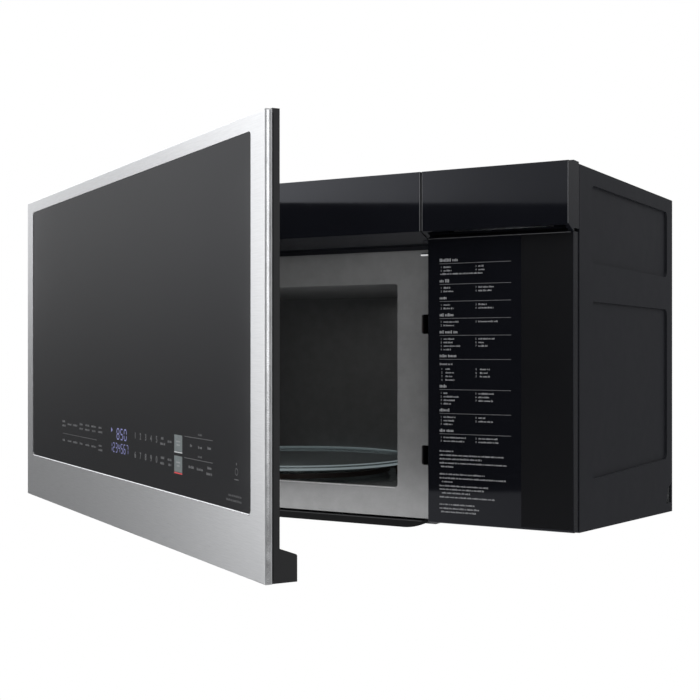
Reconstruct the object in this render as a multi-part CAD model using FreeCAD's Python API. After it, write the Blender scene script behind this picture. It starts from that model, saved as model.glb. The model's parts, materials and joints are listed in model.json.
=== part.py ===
import FreeCAD, Part
import math
import os
from FreeCAD import Vector

os.makedirs("parts", exist_ok=True)

# Over the range microwave oven with a full-width door, hung on a wall plate.
# Frame: origin on the wall, at the middle of the wall plate's rear face.
# +X is to the right seen from the front, +Y points into the wall, +Z is up.
# Places are given as a depth behind the chassis front plane (negative is in front
# of it) and a height above the door's lower edge.  All lengths are millimetres.

# ------------------------------------------------------------------ driving dimensions

# body
body_width = 759.0
front_height = 398.0
rear_drop = 19.9
chassis_depth = 372.0
side_front_drop = 1.5
sheet = 1.0
flange_width = 12.0
slip = 0.2

# side panel pockets and hook relief
pocket_depth = 3.0
pocket_radius = 9.0
pocket_front = 40.0
pocket_rear_margin = 24.5
upper_pocket_drop = 17.0
upper_pocket_length = 88.5
pocket_bridge = 40.8
lower_pocket_low = 51.5
relief_from_rear = 6.0
relief_length = 21.4
relief_low = -7.0
relief_height = 24.0

# wall plate and rear plate
wall_plate_thickness = 1.5
wall_plate_side_margin = 29.5
wall_plate_low = -12.0
wall_plate_drop = 18.0
wall_plate_gap = 4.0
stud_spacing = 406.4
stud_rows = 240.0
stud_hole_radius = 4.0
hook_width = 40.0
hook_centre = 170.0
hook_height = 2.0
hook_lip = 8.0
hook_reach = 10.5
rear_rib_width = 16.0
rear_rib_low = 40.0
rear_rib_drop = 58.0

# top plate
exhaust_length = 254.0
exhaust_width = 83.0
exhaust_from_rear = 82.0
cabinet_bolt_spacing = 520.0
cabinet_bolt_depth = 150.0
cabinet_bolt_radius = 3.4
weld_nut_radius = 6.5
weld_nut_height = 6.0
cord_hole_from_side = 124.5
cord_hole_from_rear = 37.0
cord_hole_radius = 11.0
cord_radius = 5.5
bushing_flange = 3.5
bead_depth = 2.0
bead_width = 14.0
bead_end_margin = 60.0
front_bead_depth = 60.0
rear_bead_offset = 80.0

# cavity
cavity_from_left_side = 34.5
cavity_from_right_side = 222.2
cavity_floor = 26.0
cavity_head_room = 123.5
cavity_from_rear = 32.0
cavity_radius = 5.0
opening_floor = 36.0
opening_radius = 3.0
front_plate_thickness = 1.5
front_plate_low = 1.5
front_plate_drop = 85.7
front_plate_from_side = 165.5
latch_slot_from_side = 190.5
latch_slot_width = 14.0
latch_slot_radius = 2.0
latch_slot_height = 22.6
latch_collar_depth = 2.5
latch_collar_wall = 1.0
lower_latch_slot = 63.6
upper_latch_slot_drop = 59.2

# vent covers and the panel behind them
cover_proud = 33.7
cover_face_height = 67.5
cover_rear_drop = 81.0
cover_wall = 2.5
cover_split_from_side = 174.6
cover_split_gap = 2.0
outlet_half_width = 150.0
outlet_drop = 10.0
outlet_height = 63.0
intake_from_side = 29.5
intake_width = 120.0
louvre_pitch = 12.0
louvre_width = 6.0
louvre_length = 17.0
charcoal_thickness = 15.0
filter_overlap = 4.0
locating_tab_length = 18.0
locating_tab_rear = 1.0
locating_tab_height = 2.2

# guide panel
guide_width = 175.0
guide_proud = 15.3
guide_drop = 73.9
guide_wall = 2.5
guide_edge_radius = 1.0
guide_slot_clearance = 0.8

# door
door_gap = 2.0
door_panel_thickness = 14.3
skin_depth = 6.8
skin_wall = 1.2
skin_edge_radius = 1.0
frame_side = 28.0
frame_bottom = 55.8
frame_top = 14.6
glass_thickness = 4.0
glass_recess = 0.6
glass_radius = 4.0
bezel_depth = 5.5
back_frame_inset = 0.8
back_frame_wall = 2.5
back_frame_gap = 0.5
back_frame_rise = 1.0

# door hinge
hinge_inset = 18.0
hinge_behind_cover = 26.0
door_open_angle = 30.7
hinge_pin_radius = 3.0
hinge_pin_clearance = 0.06
hinge_boss_radius = 6.0
hinge_plate = 2.5
hinge_arm_left = 3.0
hinge_arm_right = 25.0
hinge_side_gap = 0.6
upper_arm_drop = 93.5
lower_arm_height = 2.5
hinge_tab_front = 8.0
hinge_leg_depth = 35.0
hinge_leg_height = 44.0
swing_clearance = 0.5

# choke frame, choke cover and window
choke_left_of_pin = 0.5
choke_from_side = 193.5
choke_low = 8.0
choke_drop = 95.0
choke_clearance = 1.0
choke_wall = 2.0
choke_sheet = 1.2
window_margin_x = 38.0
window_margin_low = 35.0
window_margin_high = 35.0
window_lip = 5.0
window_pane = 3.0
choke_flange = 18.0

# pocket handle
handle_depth = 16.5
handle_height = 29.0
handle_rear_height = 23.2
handle_edge_radius = 2.0
handle_wall = 3.0
handle_pocket_height = 20.5

# latch
latch_thickness = 4.0
latch_housing_depth = 11.7
latch_housing_wall = 1.5
latch_housing_above = 34.7
latch_housing_below = 11.6
latch_travel = 4.0
latch_stem_height = 6.0
latch_head_height = 11.7
latch_head_length = 10.0
latch_reach = 14.0
latch_bar_depth = 6.0
latch_bar_top_margin = 12.3
latch_bottom_margin = 4.0
latch_spring_radius = 2.4
latch_spring_wire = 0.7
latch_spring_turns = 5

# interlock switches behind the latch slots
switch_width = 10.0
switch_length = 20.0
switch_thickness = 6.5
switch_gap = 0.4
plunger_radius = 1.5
plunger_clearance = 0.06
plunger_proud = 5.4
plunger_buried = 4.0
plunger_travel = 1.2
latch_board_wall = 4.0
latch_board_depth = 44.0

# turntable
tray_wall_clearance = 7.5
tray_glass = 4.5
tray_rim_width = 12.0
tray_rim_height = 3.4
roller_radius = 7.85
roller_width = 6.0
roller_gap = 0.3
roller_bore_clearance = 0.06
axle_radius = 1.5
roller_track_inset = 18.5
ring_inset = 16.0
ring_width = 6.0
ring_height = 6.0
coupler_radius = 20.0
coupler_arm = 6.0
coupler_hub_radius = 9.0
shaft_radius = 3.0
shaft_clearance = 0.06
turntable_motor_radius = 24.5
turntable_motor_height = 14.0
pip_radius = 4.0
pip_circle_radius = 14.0
pip_height = 3.0

# ventilation blower
blower_drop = 62.0
blower_motor_radius = 40.0
blower_motor_half = 46.0
wheel_radius = 46.0
wheel_width = 56.0
wheel_gap = 6.0
blade_count = 20
blade_depth = 7.0
blade_thickness = 1.2
blower_shaft_radius = 4.0
scroll_radius = 57.0
scroll_wall = 2.0
scroll_inlet_radius = 34.0
scroll_outlet_drop = 4.0

# electronics compartment
waveguide_width = 40.0
waveguide_front = 125.0
waveguide_length = 90.0
waveguide_drop = 154.5
waveguide_height = 150.0
feed_margin = 12.0
feed_height = 60.0
mica_thickness = 0.8
magnetron_size = 80.0
magnetron_length = 95.0
magnetron_drop = 49.5
magnetron_fins = 6
antenna_radius = 8.0
antenna_length = 26.0
fan_shroud_from_rear = 42.0
fan_shroud_height = 210.0
fan_shroud_drop = 68.0
fan_from_side = 111.5
fan_drop = 39.5
fan_radius = 54.0
fan_clearance = 4.0
fan_blades = 7
fan_blade_pitch = 28.0
fan_blade_width = 22.0
fan_blade_thickness = 1.2
fan_hub_radius = 14.0
fan_hub_length = 16.0
fan_motor_size = 52.0
fan_motor_length = 24.0
fan_arm_height = 40.0
fan_arm_width = 8.0
fan_arm_thickness = 3.0
transformer_from_side = 114.5
transformer_filter_gap = 10.0
transformer_width = 96.0
transformer_length = 80.0
transformer_height = 84.0
transformer_base = 6.0
capacitor_width = 54.0
capacitor_length = 90.0
capacitor_height = 34.0
board_thickness = 1.6
board_from_side = 11.5
board_width = 146.0
board_low = 20.0
board_height = 160.0
post_inset = 8.0
post_radius = 4.0
relay_width = 20.0
relay_height = 26.0
relay_proud = 16.0
relay_pitch = 32.0
board_margin = 14.0
board_coil_size = 42.0
board_coil_proud = 30.0
board_can_radius = 8.0
board_can_proud = 24.0
board_depth = 3.0
lamp_size = 24.0
cutout_radius = 9.0
cutout_height = 9.0

# touch board and display behind the door glass
touch_board_margin = 59.5
touch_board_low = 62.0
touch_board_high = 112.0
display_x = 12.0
display_width = 84.0
display_height = 36.0
display_thickness = 3.0

# underside
visor_from_side = 181.5
visor_top = -0.6
visor_plate = 2.0
visor_length = 150.0
visor_lip = 2.2
visor_lip_bottom = -10.0
visor_end_curve = 36.0
visor_end_drop = 1.4
visor_clearance = 0.3
rail_width = 14.0
rail_length = 155.0
rail_front = 5.0
rail_wall = 2.0
pan_front = 3.0
pan_notch = 95.0
filter_side_margin = 26.5
filter_length = 150.0
filter_thickness = 9.0
filter_inner_x = 71.0
filter_from_rear = 182.0
filter_slack = 6.0
filter_clearance = 1.0
filter_border = 11.0
filter_recess = 1.5
tongue_long = 9.0
tongue_short = 4.0
tongue_thickness = 1.7
tongue_width = 60.0
lens_width = 110.0
lens_length = 45.0
lens_from_rear = 172.0
lens_wall = 1.5
lens_height = 8.0
lens_flange = 3.0

# screws
screw_radius = 2.0
screw_head_radius = 4.0
screw_head_height = 2.0
screw_length = 7.0
screw_rows = 4
screw_low = 30.0
screw_drop = 38.0

# ------------------------------------------------------------------ derived places

half_width = body_width / 2
rear_height = front_height + rear_drop
door_height = front_height
side_inner = half_width - sheet
top_z = rear_height / 2
door_bottom_z = top_z - front_height
pan_slope = (rear_drop - side_front_drop) / chassis_depth
rear_face_depth = chassis_depth - wall_plate_thickness - wall_plate_gap
flange_edge = side_inner - flange_width
cover_low = front_height - cover_face_height
cover_rear_height = front_height - cover_rear_drop
cover_split_x = half_width - cover_split_from_side
guide_left = half_width - guide_width
guide_height = front_height - guide_drop
front_plate_high = front_height - front_plate_drop
front_plate_right = half_width - front_plate_from_side
upper_pocket_high = front_height - upper_pocket_drop
upper_pocket = (upper_pocket_high - upper_pocket_length, upper_pocket_high)
lower_pocket = (lower_pocket_low, upper_pocket[0] - pocket_bridge)
wall_plate_width = body_width - 2 * wall_plate_side_margin
wall_plate_high = front_height - wall_plate_drop
exhaust_centre_depth = chassis_depth - exhaust_from_rear
cord_hole_x = half_width - cord_hole_from_side
cord_hole_depth = chassis_depth - cord_hole_from_rear
outlet_high = front_height - outlet_drop
outlet_low = outlet_high - outlet_height
intake_right = half_width - intake_from_side
intake_left = intake_right - intake_width
screw_pitch = (front_height - screw_drop - screw_low) / (screw_rows - 1)
screw_heights = [screw_low + row * screw_pitch for row in range(screw_rows)]
door_back_depth = -cover_proud - door_gap
door_front_depth = door_back_depth - door_panel_thickness
skin_back_depth = door_front_depth + skin_depth
glass_front_depth = door_front_depth + glass_recess
glass_back_depth = glass_front_depth + glass_thickness
hinge_x = -half_width + hinge_inset
hinge_depth = -cover_proud + hinge_behind_cover
swing_radius = hinge_depth - door_back_depth - swing_clearance
choke_left = hinge_x + choke_left_of_pin
choke_right = half_width - choke_from_side
choke_high = front_height - choke_drop
upper_arm_height = front_height - upper_arm_drop
window_x = (choke_left + window_margin_x, choke_right - window_margin_x)
window_h = (choke_low + window_margin_low, choke_high - window_margin_high)
cavity_left = cavity_from_left_side - half_width
cavity_right = half_width - cavity_from_right_side
cavity_top = front_height - cavity_head_room
cavity_depth = chassis_depth - cavity_from_rear
upper_latch_slot = cavity_top - upper_latch_slot_drop
latch_slot_left = half_width - latch_slot_from_side
tray_x = (cavity_left + cavity_right) / 2
tray_depth = cavity_depth / 2
tray_radius = tray_depth - tray_wall_clearance
roller_track_radius = tray_radius - roller_track_inset
ring_inner_radius = roller_track_radius - ring_inset
roller_axis_height = cavity_floor + roller_gap + roller_radius
tray_height = roller_axis_height + roller_radius + roller_gap
cavity_outer_right = cavity_right + sheet
cavity_outer_top = cavity_top + sheet
cavity_bottom = cavity_floor - sheet
latch_centre_x = latch_slot_left + latch_slot_width / 2
switch_rear_depth = latch_board_depth - latch_board_wall
switch_front_depth = switch_rear_depth - switch_length
blower_height = front_height - blower_drop
blower_wheel_start = blower_motor_half + wheel_gap
waveguide_low = cavity_top - waveguide_drop
magnetron_height = cavity_top - magnetron_drop
fan_height = cavity_top - fan_drop
fan_x = half_width - fan_from_side
fan_shroud_depth = chassis_depth - fan_shroud_from_rear
fan_shroud_high = front_height - fan_shroud_drop
fan_shroud_low = fan_shroud_high - fan_shroud_height
transformer_x = half_width - transformer_from_side
board_right = half_width - board_from_side
board_left = board_right - board_width
board_high = board_low + board_height
touch_board_half_width = half_width - touch_board_margin
filter_width = half_width - filter_side_margin - filter_inner_x
filter_front = chassis_depth - filter_from_rear
transformer_depth = filter_front - transformer_filter_gap - transformer_length / 2
visor_half_width = half_width - visor_from_side
lens_front = chassis_depth - lens_from_rear

X_AXIS = Vector(1, 0, 0)
Y_AXIS = Vector(0, 1, 0)
Z_AXIS = Vector(0, 0, 1)


# ------------------------------------------------------------------ shape helpers

def point(x, depth, height):
    """A place given by x, depth behind the chassis front and height above the door bottom."""
    return Vector(x, depth - chassis_depth, height + door_bottom_z)


def block(xs, depths, heights):
    """A box between pairs of x, depth and height, each pair in either order."""
    low = point(min(xs), min(depths), min(heights))
    high = point(max(xs), max(depths), max(heights))
    size = high - low
    return Part.makeBox(size.x, size.y, size.z, low)


def rod(centre, axis, radius, length):
    """A solid cylinder that starts at centre and runs along axis."""
    return Part.makeCylinder(radius, length, centre, axis)


def tube(centre, axis, outer, inner, length):
    return rod(centre, axis, outer, length).cut(rod(centre, axis, inner, length))


def slab_along_x(outline, xs):
    """A prism whose outline is a list of (depth, height) points."""
    points = [point(xs[0], depth, height) for depth, height in outline]
    face = Part.Face(Part.makePolygon(points + points[:1]))
    return face.extrude(Vector(xs[1] - xs[0], 0, 0))


def edges_along(shape, axis):
    """The straight edges that run along axis."""
    found = []
    for edge in shape.Edges:
        if not isinstance(edge.Curve, (Part.Line, Part.LineSegment)):
            continue
        run = edge.Vertexes[-1].Point - edge.Vertexes[0].Point
        if run.Length > 0 and abs(run.dot(axis)) > 0.999 * run.Length:
            found.append(edge)
    return found


def rounded(shape, axis, radius):
    """The shape with the edges that run along axis rounded."""
    return shape.makeFillet(radius, edges_along(shape, axis))


def joined(shapes):
    first, rest = shapes[0], shapes[1:]
    return first.fuse(rest).removeSplitter() if rest else first


def grown(pair, margin):
    return (min(pair) - margin, max(pair) + margin)


def pressed(panel, pocket, floor):
    """Sheet pressed into a pocket: the pocket's outside is added, its inside taken out."""
    return panel.fuse(floor).cut(pocket)


def mirrored(shape):
    return shape.mirror(Vector(0, 0, 0), X_AXIS)


def opened(shape):
    """A door piece, drawn closed, swung to the angle at which the door is kept."""
    turned = shape.copy()
    turned.rotate(point(hinge_x, 0, 0) + Vector(0, hinge_depth, 0), Z_AXIS, -door_open_angle)
    return turned


def on_slope(shape):
    """A piece of the sloping underside, drawn level with the pan's lower face at height 0."""
    tilted = shape.copy()
    tilted.rotate(point(0, 0, 0), X_AXIS, -math.degrees(math.atan(pan_slope)))
    tilted.translate(Vector(0, 0, -side_front_drop))
    return tilted


def pan_top(depth):
    """Height of the pan's upper face at a depth."""
    return -side_front_drop - pan_slope * depth + sheet * math.hypot(1, pan_slope)


# ------------------------------------------------------------------ body sheet metal

def hinge_slots():
    """The slots through which the hinge brackets reach forward."""
    xs = (hinge_x - hinge_boss_radius - 10.0, hinge_x + hinge_boss_radius + 3.0)
    cuts = []
    for low in (upper_arm_height + hinge_plate + hinge_side_gap,
                lower_arm_height - hinge_side_gap - hinge_plate):
        heights = grown((low, low + hinge_plate), 0.3)
        cuts.append(block(xs, (-1.0, front_plate_thickness + 1.0), heights))
    return cuts


def side_panel(with_hinge_slots):
    """Right side panel; the left one is its mirror image."""
    outline = [(0, -side_front_drop), (chassis_depth, -rear_drop),
               (chassis_depth, front_height), (0, front_height)]
    panel = slab_along_x(outline, (side_inner, half_width))
    front_flange = block((flange_edge, side_inner), (0, sheet), (-side_front_drop, front_height - sheet))
    rear_flange = block((flange_edge, side_inner), (rear_face_depth, rear_face_depth + sheet),
                        (pan_top(rear_face_depth), front_height - flange_width - sheet))
    panel = joined([panel, front_flange, rear_flange])
    pocket_rear = chassis_depth - pocket_rear_margin
    for heights in (upper_pocket, lower_pocket):
        outside = block((side_inner - pocket_depth, half_width), (pocket_front, pocket_rear), heights)
        inside = block((half_width - pocket_depth, half_width + sheet),
                       grown((pocket_front, pocket_rear), -sheet), grown(heights, -sheet))
        outside = rounded(outside, X_AXIS, pocket_radius)
        inside = rounded(inside, X_AXIS, pocket_radius - sheet)
        panel = pressed(panel, inside, outside)
    panel = panel.cut(rear_relief())
    for height in screw_heights:
        panel = panel.cut(screw_shank(half_width - sheet - flange_width / 2, height, slip / 2))
    if with_hinge_slots:
        for cut in hinge_slots():
            panel = panel.cut(mirrored(cut))
    return panel


def rear_relief():
    """Hand hole near the rear edge with a flat foot and a curved front."""
    x = side_inner
    rear = chassis_depth - relief_from_rear
    foot = point(x, rear - relief_length, relief_low)
    rear_foot = point(x, rear, relief_low)
    rear_head = point(x, rear, relief_low + relief_height)
    bend = point(x, rear - 0.78 * relief_length, relief_low + 0.6 * relief_height)
    outline = Part.Wire([Part.makeLine(foot, rear_foot), Part.makeLine(rear_foot, rear_head),
                         Part.Arc(rear_head, bend, foot).toShape()])
    return Part.Face(outline).extrude(Vector(flange_width, 0, 0))


def side_panel_right():
    return side_panel(False)


def side_panel_left():
    return mirrored(side_panel(True))


def top_plate():
    edge = side_inner - slip
    plate = block((-edge, edge), (0, chassis_depth), (front_height - sheet, front_height))
    for side in (-1, 1):
        flange = block((side * (edge - sheet), side * edge), (2 * sheet, chassis_depth),
                       (front_height - flange_width, front_height - sheet))
        nut = rod(point(side * cabinet_bolt_spacing / 2, cabinet_bolt_depth,
                        front_height - sheet - weld_nut_height), Z_AXIS, weld_nut_radius, weld_nut_height)
        plate = plate.fuse([flange, nut])
    for centre in (front_bead_depth, exhaust_centre_depth - rear_bead_offset):
        heights = (front_height - sheet - bead_depth, front_height)
        depths = (centre - bead_width / 2, centre + bead_width / 2)
        span = grown((-edge, edge), -bead_end_margin)
        run = block(span, depths, heights)
        trough = block(grown(span, -sheet), grown(depths, -sheet),
                       (heights[0] + sheet, heights[1] + sheet))
        plate = pressed(plate, trough, run)
    plate = plate.cut(exhaust_hole(0))
    plate = plate.cut(rod(point(cord_hole_x, cord_hole_depth, 0), Z_AXIS, cord_hole_radius, rear_height))
    for side in (-1, 1):
        plate = plate.cut(rod(point(side * cabinet_bolt_spacing / 2, cabinet_bolt_depth, 0),
                              Z_AXIS, cabinet_bolt_radius, rear_height))
    return plate


def exhaust_hole(margin):
    half_length = exhaust_length / 2 - margin
    half_depth = exhaust_width / 2 - margin
    return block((-half_length, half_length),
                 (exhaust_centre_depth - half_depth, exhaust_centre_depth + half_depth),
                 (front_height - 2 * sheet, front_height + sheet))


def cord_bushing():
    """Grommet that protects the supply cord where it leaves the top plate."""
    bottom = front_height - sheet - bushing_flange
    body = rod(point(cord_hole_x, cord_hole_depth, bottom), Z_AXIS, cord_hole_radius - slip / 2,
               sheet + 1.5 * bushing_flange)
    lower = rod(point(cord_hole_x, cord_hole_depth, bottom), Z_AXIS,
                cord_hole_radius + bushing_flange, bushing_flange)
    upper = rod(point(cord_hole_x, cord_hole_depth, front_height), Z_AXIS,
                cord_hole_radius + bushing_flange, bushing_flange / 2)
    bore = rod(point(cord_hole_x, cord_hole_depth, bottom - 1), Z_AXIS, cord_radius, rear_height)
    return joined([body, lower, upper]).cut(bore)


def rear_plate():
    edge = side_inner - 1.5 * sheet
    depths = (rear_face_depth - sheet, rear_face_depth)
    rib = (rear_rib_low, front_height - rear_rib_drop)
    heights = (pan_top(rear_face_depth - sheet) + slip, front_height - sheet - slip)
    plate = block((-edge, edge), depths, heights)
    corner = (front_height - flange_width - sheet, front_height)
    plate = plate.cut(block((flange_edge, half_width), depths, corner))
    plate = plate.cut(block((-flange_edge, -half_width), depths,
                            (front_height - flange_width - sheet, front_height)))
    for side in (-1, 1):
        centre = side * (hook_centre + hook_width)
        outside = block((centre - rear_rib_width / 2, centre + rear_rib_width / 2),
                        (rear_face_depth - sheet - bead_depth, rear_face_depth), rib)
        inside = block(grown((centre - rear_rib_width / 2, centre + rear_rib_width / 2), -sheet),
                       (rear_face_depth - bead_depth, rear_face_depth + sheet),
                       grown(rib, -sheet))
        plate = pressed(plate, inside, outside)
        slot = block(grown((side * hook_centre - hook_width / 2, side * hook_centre + hook_width / 2), 1.0),
                     grown(depths, sheet),
                     (hook_height - 0.3, hook_height + wall_plate_thickness + hook_lip + 1.5))
        plate = plate.cut(slot)
        for height in screw_heights:
            plate = plate.cut(screw_shank(side * (side_inner - flange_width / 2), height, slip / 2))
    return plate


def wall_mounting_plate():
    """Plate that is bolted to the wall studs; the oven's rear hooks onto its two lower tabs."""
    depths = (chassis_depth - wall_plate_thickness, chassis_depth)
    plate = block((-wall_plate_width / 2, wall_plate_width / 2), depths, (wall_plate_low, wall_plate_high))
    plate = rounded(plate, Y_AXIS, 8.0)
    middle = -door_bottom_z
    for side in (-1, 1):
        for row in (-1, 1):
            centre = point(side * stud_spacing / 2, 0, middle + row * stud_rows / 2)
            plate = plate.cut(rod(centre, Y_AXIS, stud_hole_radius, chassis_depth + 1))
        xs = (side * hook_centre - hook_width / 2, side * hook_centre + hook_width / 2)
        reach = (depths[0] - hook_reach, depths[0])
        shelf = block(xs, reach, (hook_height, hook_height + wall_plate_thickness))
        lip = block(xs, (reach[0], reach[0] + wall_plate_thickness),
                    (hook_height, hook_height + wall_plate_thickness + hook_lip))
        plate = joined([plate, shelf, lip])
    return plate


def screw_shank(x, height, clearance):
    return rod(point(x, rear_face_depth + sheet - screw_length, height), Y_AXIS,
               screw_radius + clearance, screw_length)


def chassis_screws():
    """Screws that hold the rear plate to the side panels' rear flanges."""
    screws = []
    for side in (-1, 1):
        for height in screw_heights:
            x = side * (side_inner - flange_width / 2)
            head = rod(point(x, rear_face_depth + sheet, height), Y_AXIS,
                       screw_head_radius, screw_head_height)
            screws.append(joined([screw_shank(x, height, 0), head]))
    return Part.makeCompound(screws)


# ------------------------------------------------------------------ oven cavity

def cavity_box():
    """Enamelled liner: a wrapper with the feed window in its right wall, and a rear wall on it."""
    depths = (front_plate_thickness, front_plate_thickness + cavity_depth)
    inner = block((cavity_left, cavity_right), depths, (cavity_floor, cavity_top))
    inner = rounded(inner, Y_AXIS, cavity_radius)
    outside = (grown((cavity_left, cavity_right), sheet), grown((cavity_floor, cavity_top), sheet))
    outer = rounded(block(outside[0], depths, outside[1]), Y_AXIS, cavity_radius + sheet)
    rear = rounded(block(outside[0], (depths[1], depths[1] + sheet), outside[1]), Y_AXIS,
                   cavity_radius + sheet)
    box = outer.cut(inner)
    box = box.cut(rod(point(tray_x, tray_depth, 0), Z_AXIS, shaft_radius + 1.5, cavity_floor + 1))
    box = box.cut(feed_window(0))
    centre = lamp_centre()
    box = box.cut(rod(point(cavity_right - 1, centre[0], centre[1]), X_AXIS, lamp_size / 3, 2 * sheet + 1))
    return Part.makeCompound([box, rear])


def feed_window(margin):
    """The opening through which the waveguide feeds the cavity."""
    front = waveguide_front + feed_margin
    return block((cavity_right - 1, cavity_outer_right + 1),
                 grown((front, waveguide_front + waveguide_length - feed_margin), margin),
                 grown((waveguide_low + feed_margin, waveguide_low + feed_margin + feed_height), margin))


def lamp_centre():
    """Depth and height of the cavity lamp's window."""
    return (waveguide_front / 2, waveguide_low + waveguide_height - lamp_size)


def cavity_front_plate():
    """Front plate round the opening; its two latch slots have collars drawn to the rear."""
    plate = block((-flange_edge + slip, front_plate_right), (0, front_plate_thickness),
                  (front_plate_low, front_plate_high))
    opening = block((cavity_left, cavity_right), (-1, front_plate_thickness + 1), (opening_floor, cavity_top))
    plate = plate.cut(rounded(opening, Y_AXIS, opening_radius))
    collar_rear = front_plate_thickness + latch_collar_depth
    for low in (lower_latch_slot, upper_latch_slot):
        xs = (latch_slot_left, latch_slot_left + latch_slot_width)
        heights = (low, low + latch_slot_height)
        collar = block(grown(xs, latch_collar_wall), (0, collar_rear), grown(heights, latch_collar_wall))
        plate = plate.fuse(rounded(collar, Y_AXIS, latch_slot_radius + latch_collar_wall))
        plate = plate.cut(rounded(block(xs, (-1, collar_rear + 1), heights), Y_AXIS, latch_slot_radius))
    for cut in hinge_slots():
        plate = plate.cut(cut)
    return plate


def waveguide():
    """Rectangular duct on the cavity's right wall, between magnetron and feed window."""
    xs = (cavity_outer_right, cavity_outer_right + waveguide_width)
    depths = (waveguide_front, waveguide_front + waveguide_length)
    heights = (waveguide_low, waveguide_low + waveguide_height)
    duct = block(xs, depths, heights)
    duct = duct.cut(block((xs[0] - 1, xs[1] - sheet), grown(depths, -sheet), grown(heights, -sheet)))
    hole = rod(point(xs[1] - 2 * sheet, sum(depths) / 2, magnetron_height), X_AXIS,
               antenna_radius + 1, 3 * sheet)
    return duct.cut(hole)


def waveguide_cover():
    """Mica sheet over the feed window, inside the cavity."""
    window = feed_window(4.0).BoundBox
    low = Vector(point(cavity_right - slip - mica_thickness, 0, 0).x, window.YMin, window.ZMin)
    return Part.makeBox(mica_thickness, window.YLength, window.ZLength, low)


def cavity_lamp():
    """Small lamp module behind a window in the right wall."""
    centre = lamp_centre()
    xs = (cavity_outer_right, cavity_outer_right + lamp_size)
    housing = block(xs, (centre[0] - lamp_size / 2, centre[0] + lamp_size / 2),
                    (centre[1] - lamp_size / 2, centre[1] + lamp_size / 2))
    pocket = rod(point(xs[0] - 1, centre[0], centre[1]), X_AXIS, lamp_size / 3, lamp_size / 2)
    bulb = rod(point(xs[0] + 2, centre[0], centre[1]), X_AXIS, lamp_size / 5, lamp_size / 2)
    return joined([housing.cut(pocket), bulb])


def thermal_cutouts():
    """Two disc thermostats on the cavity's top."""
    discs = []
    for x in (cavity_left / 2, cavity_right / 2):
        base = rod(point(x, tray_depth, cavity_outer_top), Z_AXIS, cutout_radius, cutout_height)
        lug = block((x - cutout_radius - 6, x + cutout_radius + 6), (tray_depth - 4, tray_depth + 4),
                    (cavity_outer_top, cavity_outer_top + 1.5))
        discs.append(joined([base, lug]))
    return Part.makeCompound(discs)


# ------------------------------------------------------------------ vent covers and guide panel

def cover_outline(inset, rear):
    """Side outline of a vent cover, drawn inset by a wall; rear is where it ends."""
    slope = (cover_low - cover_rear_height) / cover_proud
    lift = inset * math.hypot(1, slope)
    front = -cover_proud + inset
    return [(front, front_height - inset), (front, cover_low - slope * inset + lift),
            (rear, cover_rear_height - slope * rear + lift), (rear, front_height - inset)]


def within_swing(shape, radius):
    """The shape without the corner that the closing door would sweep."""
    reach = block((-half_width - 1, hinge_x), (-cover_proud - 1, 0),
                  (cover_rear_height - 1, front_height + 1))
    kept = rod(point(hinge_x, hinge_depth, cover_rear_height - 2), Z_AXIS, radius, rear_height)
    behind = block((-half_width - 1, hinge_x), (hinge_depth, 0), (cover_rear_height - 2, front_height + 1))
    return shape.cut(reach.cut(kept).cut(behind))


def louvres(xs):
    """Outlet slots in a cover's top."""
    count = int((xs[1] - xs[0]) // louvre_pitch)
    start = (xs[0] + xs[1] - (count - 1) * louvre_pitch) / 2
    middle = -cover_proud / 2
    slots = []
    for index in range(count):
        x = start + index * louvre_pitch
        slots.append(block((x - louvre_width / 2, x + louvre_width / 2),
                           (middle - louvre_length / 2, middle + louvre_length / 2),
                           (front_height - 2 * cover_wall, front_height + 1)))
    return slots


def vent_cover_left():
    xs = (-half_width + slip, cover_split_x - cover_split_gap / 2)
    outer = within_swing(slab_along_x(cover_outline(0, 0), xs), swing_radius)
    inner = within_swing(slab_along_x(cover_outline(cover_wall, 1), grown(xs, -cover_wall)),
                         swing_radius - cover_wall)
    cover = outer.cut(inner)
    return cover.cut(louvres((xs[0] + 2 * louvre_pitch, xs[1] - louvre_pitch)))


def vent_cover_right():
    """Right cover; its lower side is open between two cheeks to let air in."""
    xs = (cover_split_x + cover_split_gap / 2, half_width - slip)
    cheek_rear = -guide_proud - guide_slot_clearance
    step = guide_height + cover_wall
    outline = cover_outline(0, cheek_rear)[:3] + [(cheek_rear, step + 1), (0, step + 1), (0, front_height)]
    inner_outline = cover_outline(cover_wall, cheek_rear - cover_wall)[:3]
    inner_outline += [(cheek_rear - cover_wall, step + 1 + cover_wall), (1, step + 1 + cover_wall),
                      (1, front_height - cover_wall)]
    cover = slab_along_x(outline, xs).cut(slab_along_x(inner_outline, grown(xs, -cover_wall)))
    mouth = block((xs[0] + 2 * cover_wall, xs[1] - 2 * cover_wall),
                  (-cover_proud + cover_wall, cheek_rear + 1), (guide_height - 5, step + 2 * cover_wall))
    cover = cover.cut(mouth)
    tab = block((xs[1] - 6, xs[1]), (-locating_tab_rear - locating_tab_length, -locating_tab_rear),
                (front_height - cover_wall, front_height + locating_tab_height))
    return joined([cover, rounded(tab, X_AXIS, locating_tab_height / 2)])


def outlet_panel():
    """Sheet behind the vent covers with the air outlet and the electronics' air inlet."""
    edge = flange_edge - slip
    panel = block((-edge, edge), (0, sheet), (front_plate_high + 0.3, front_height - sheet - slip))
    panel = panel.cut(block((-outlet_half_width, outlet_half_width), (-1, 2), (outlet_low, outlet_high)))
    return panel.cut(block((intake_left, intake_right), (-1, 2), (guide_height + 7, outlet_high)))


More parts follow.
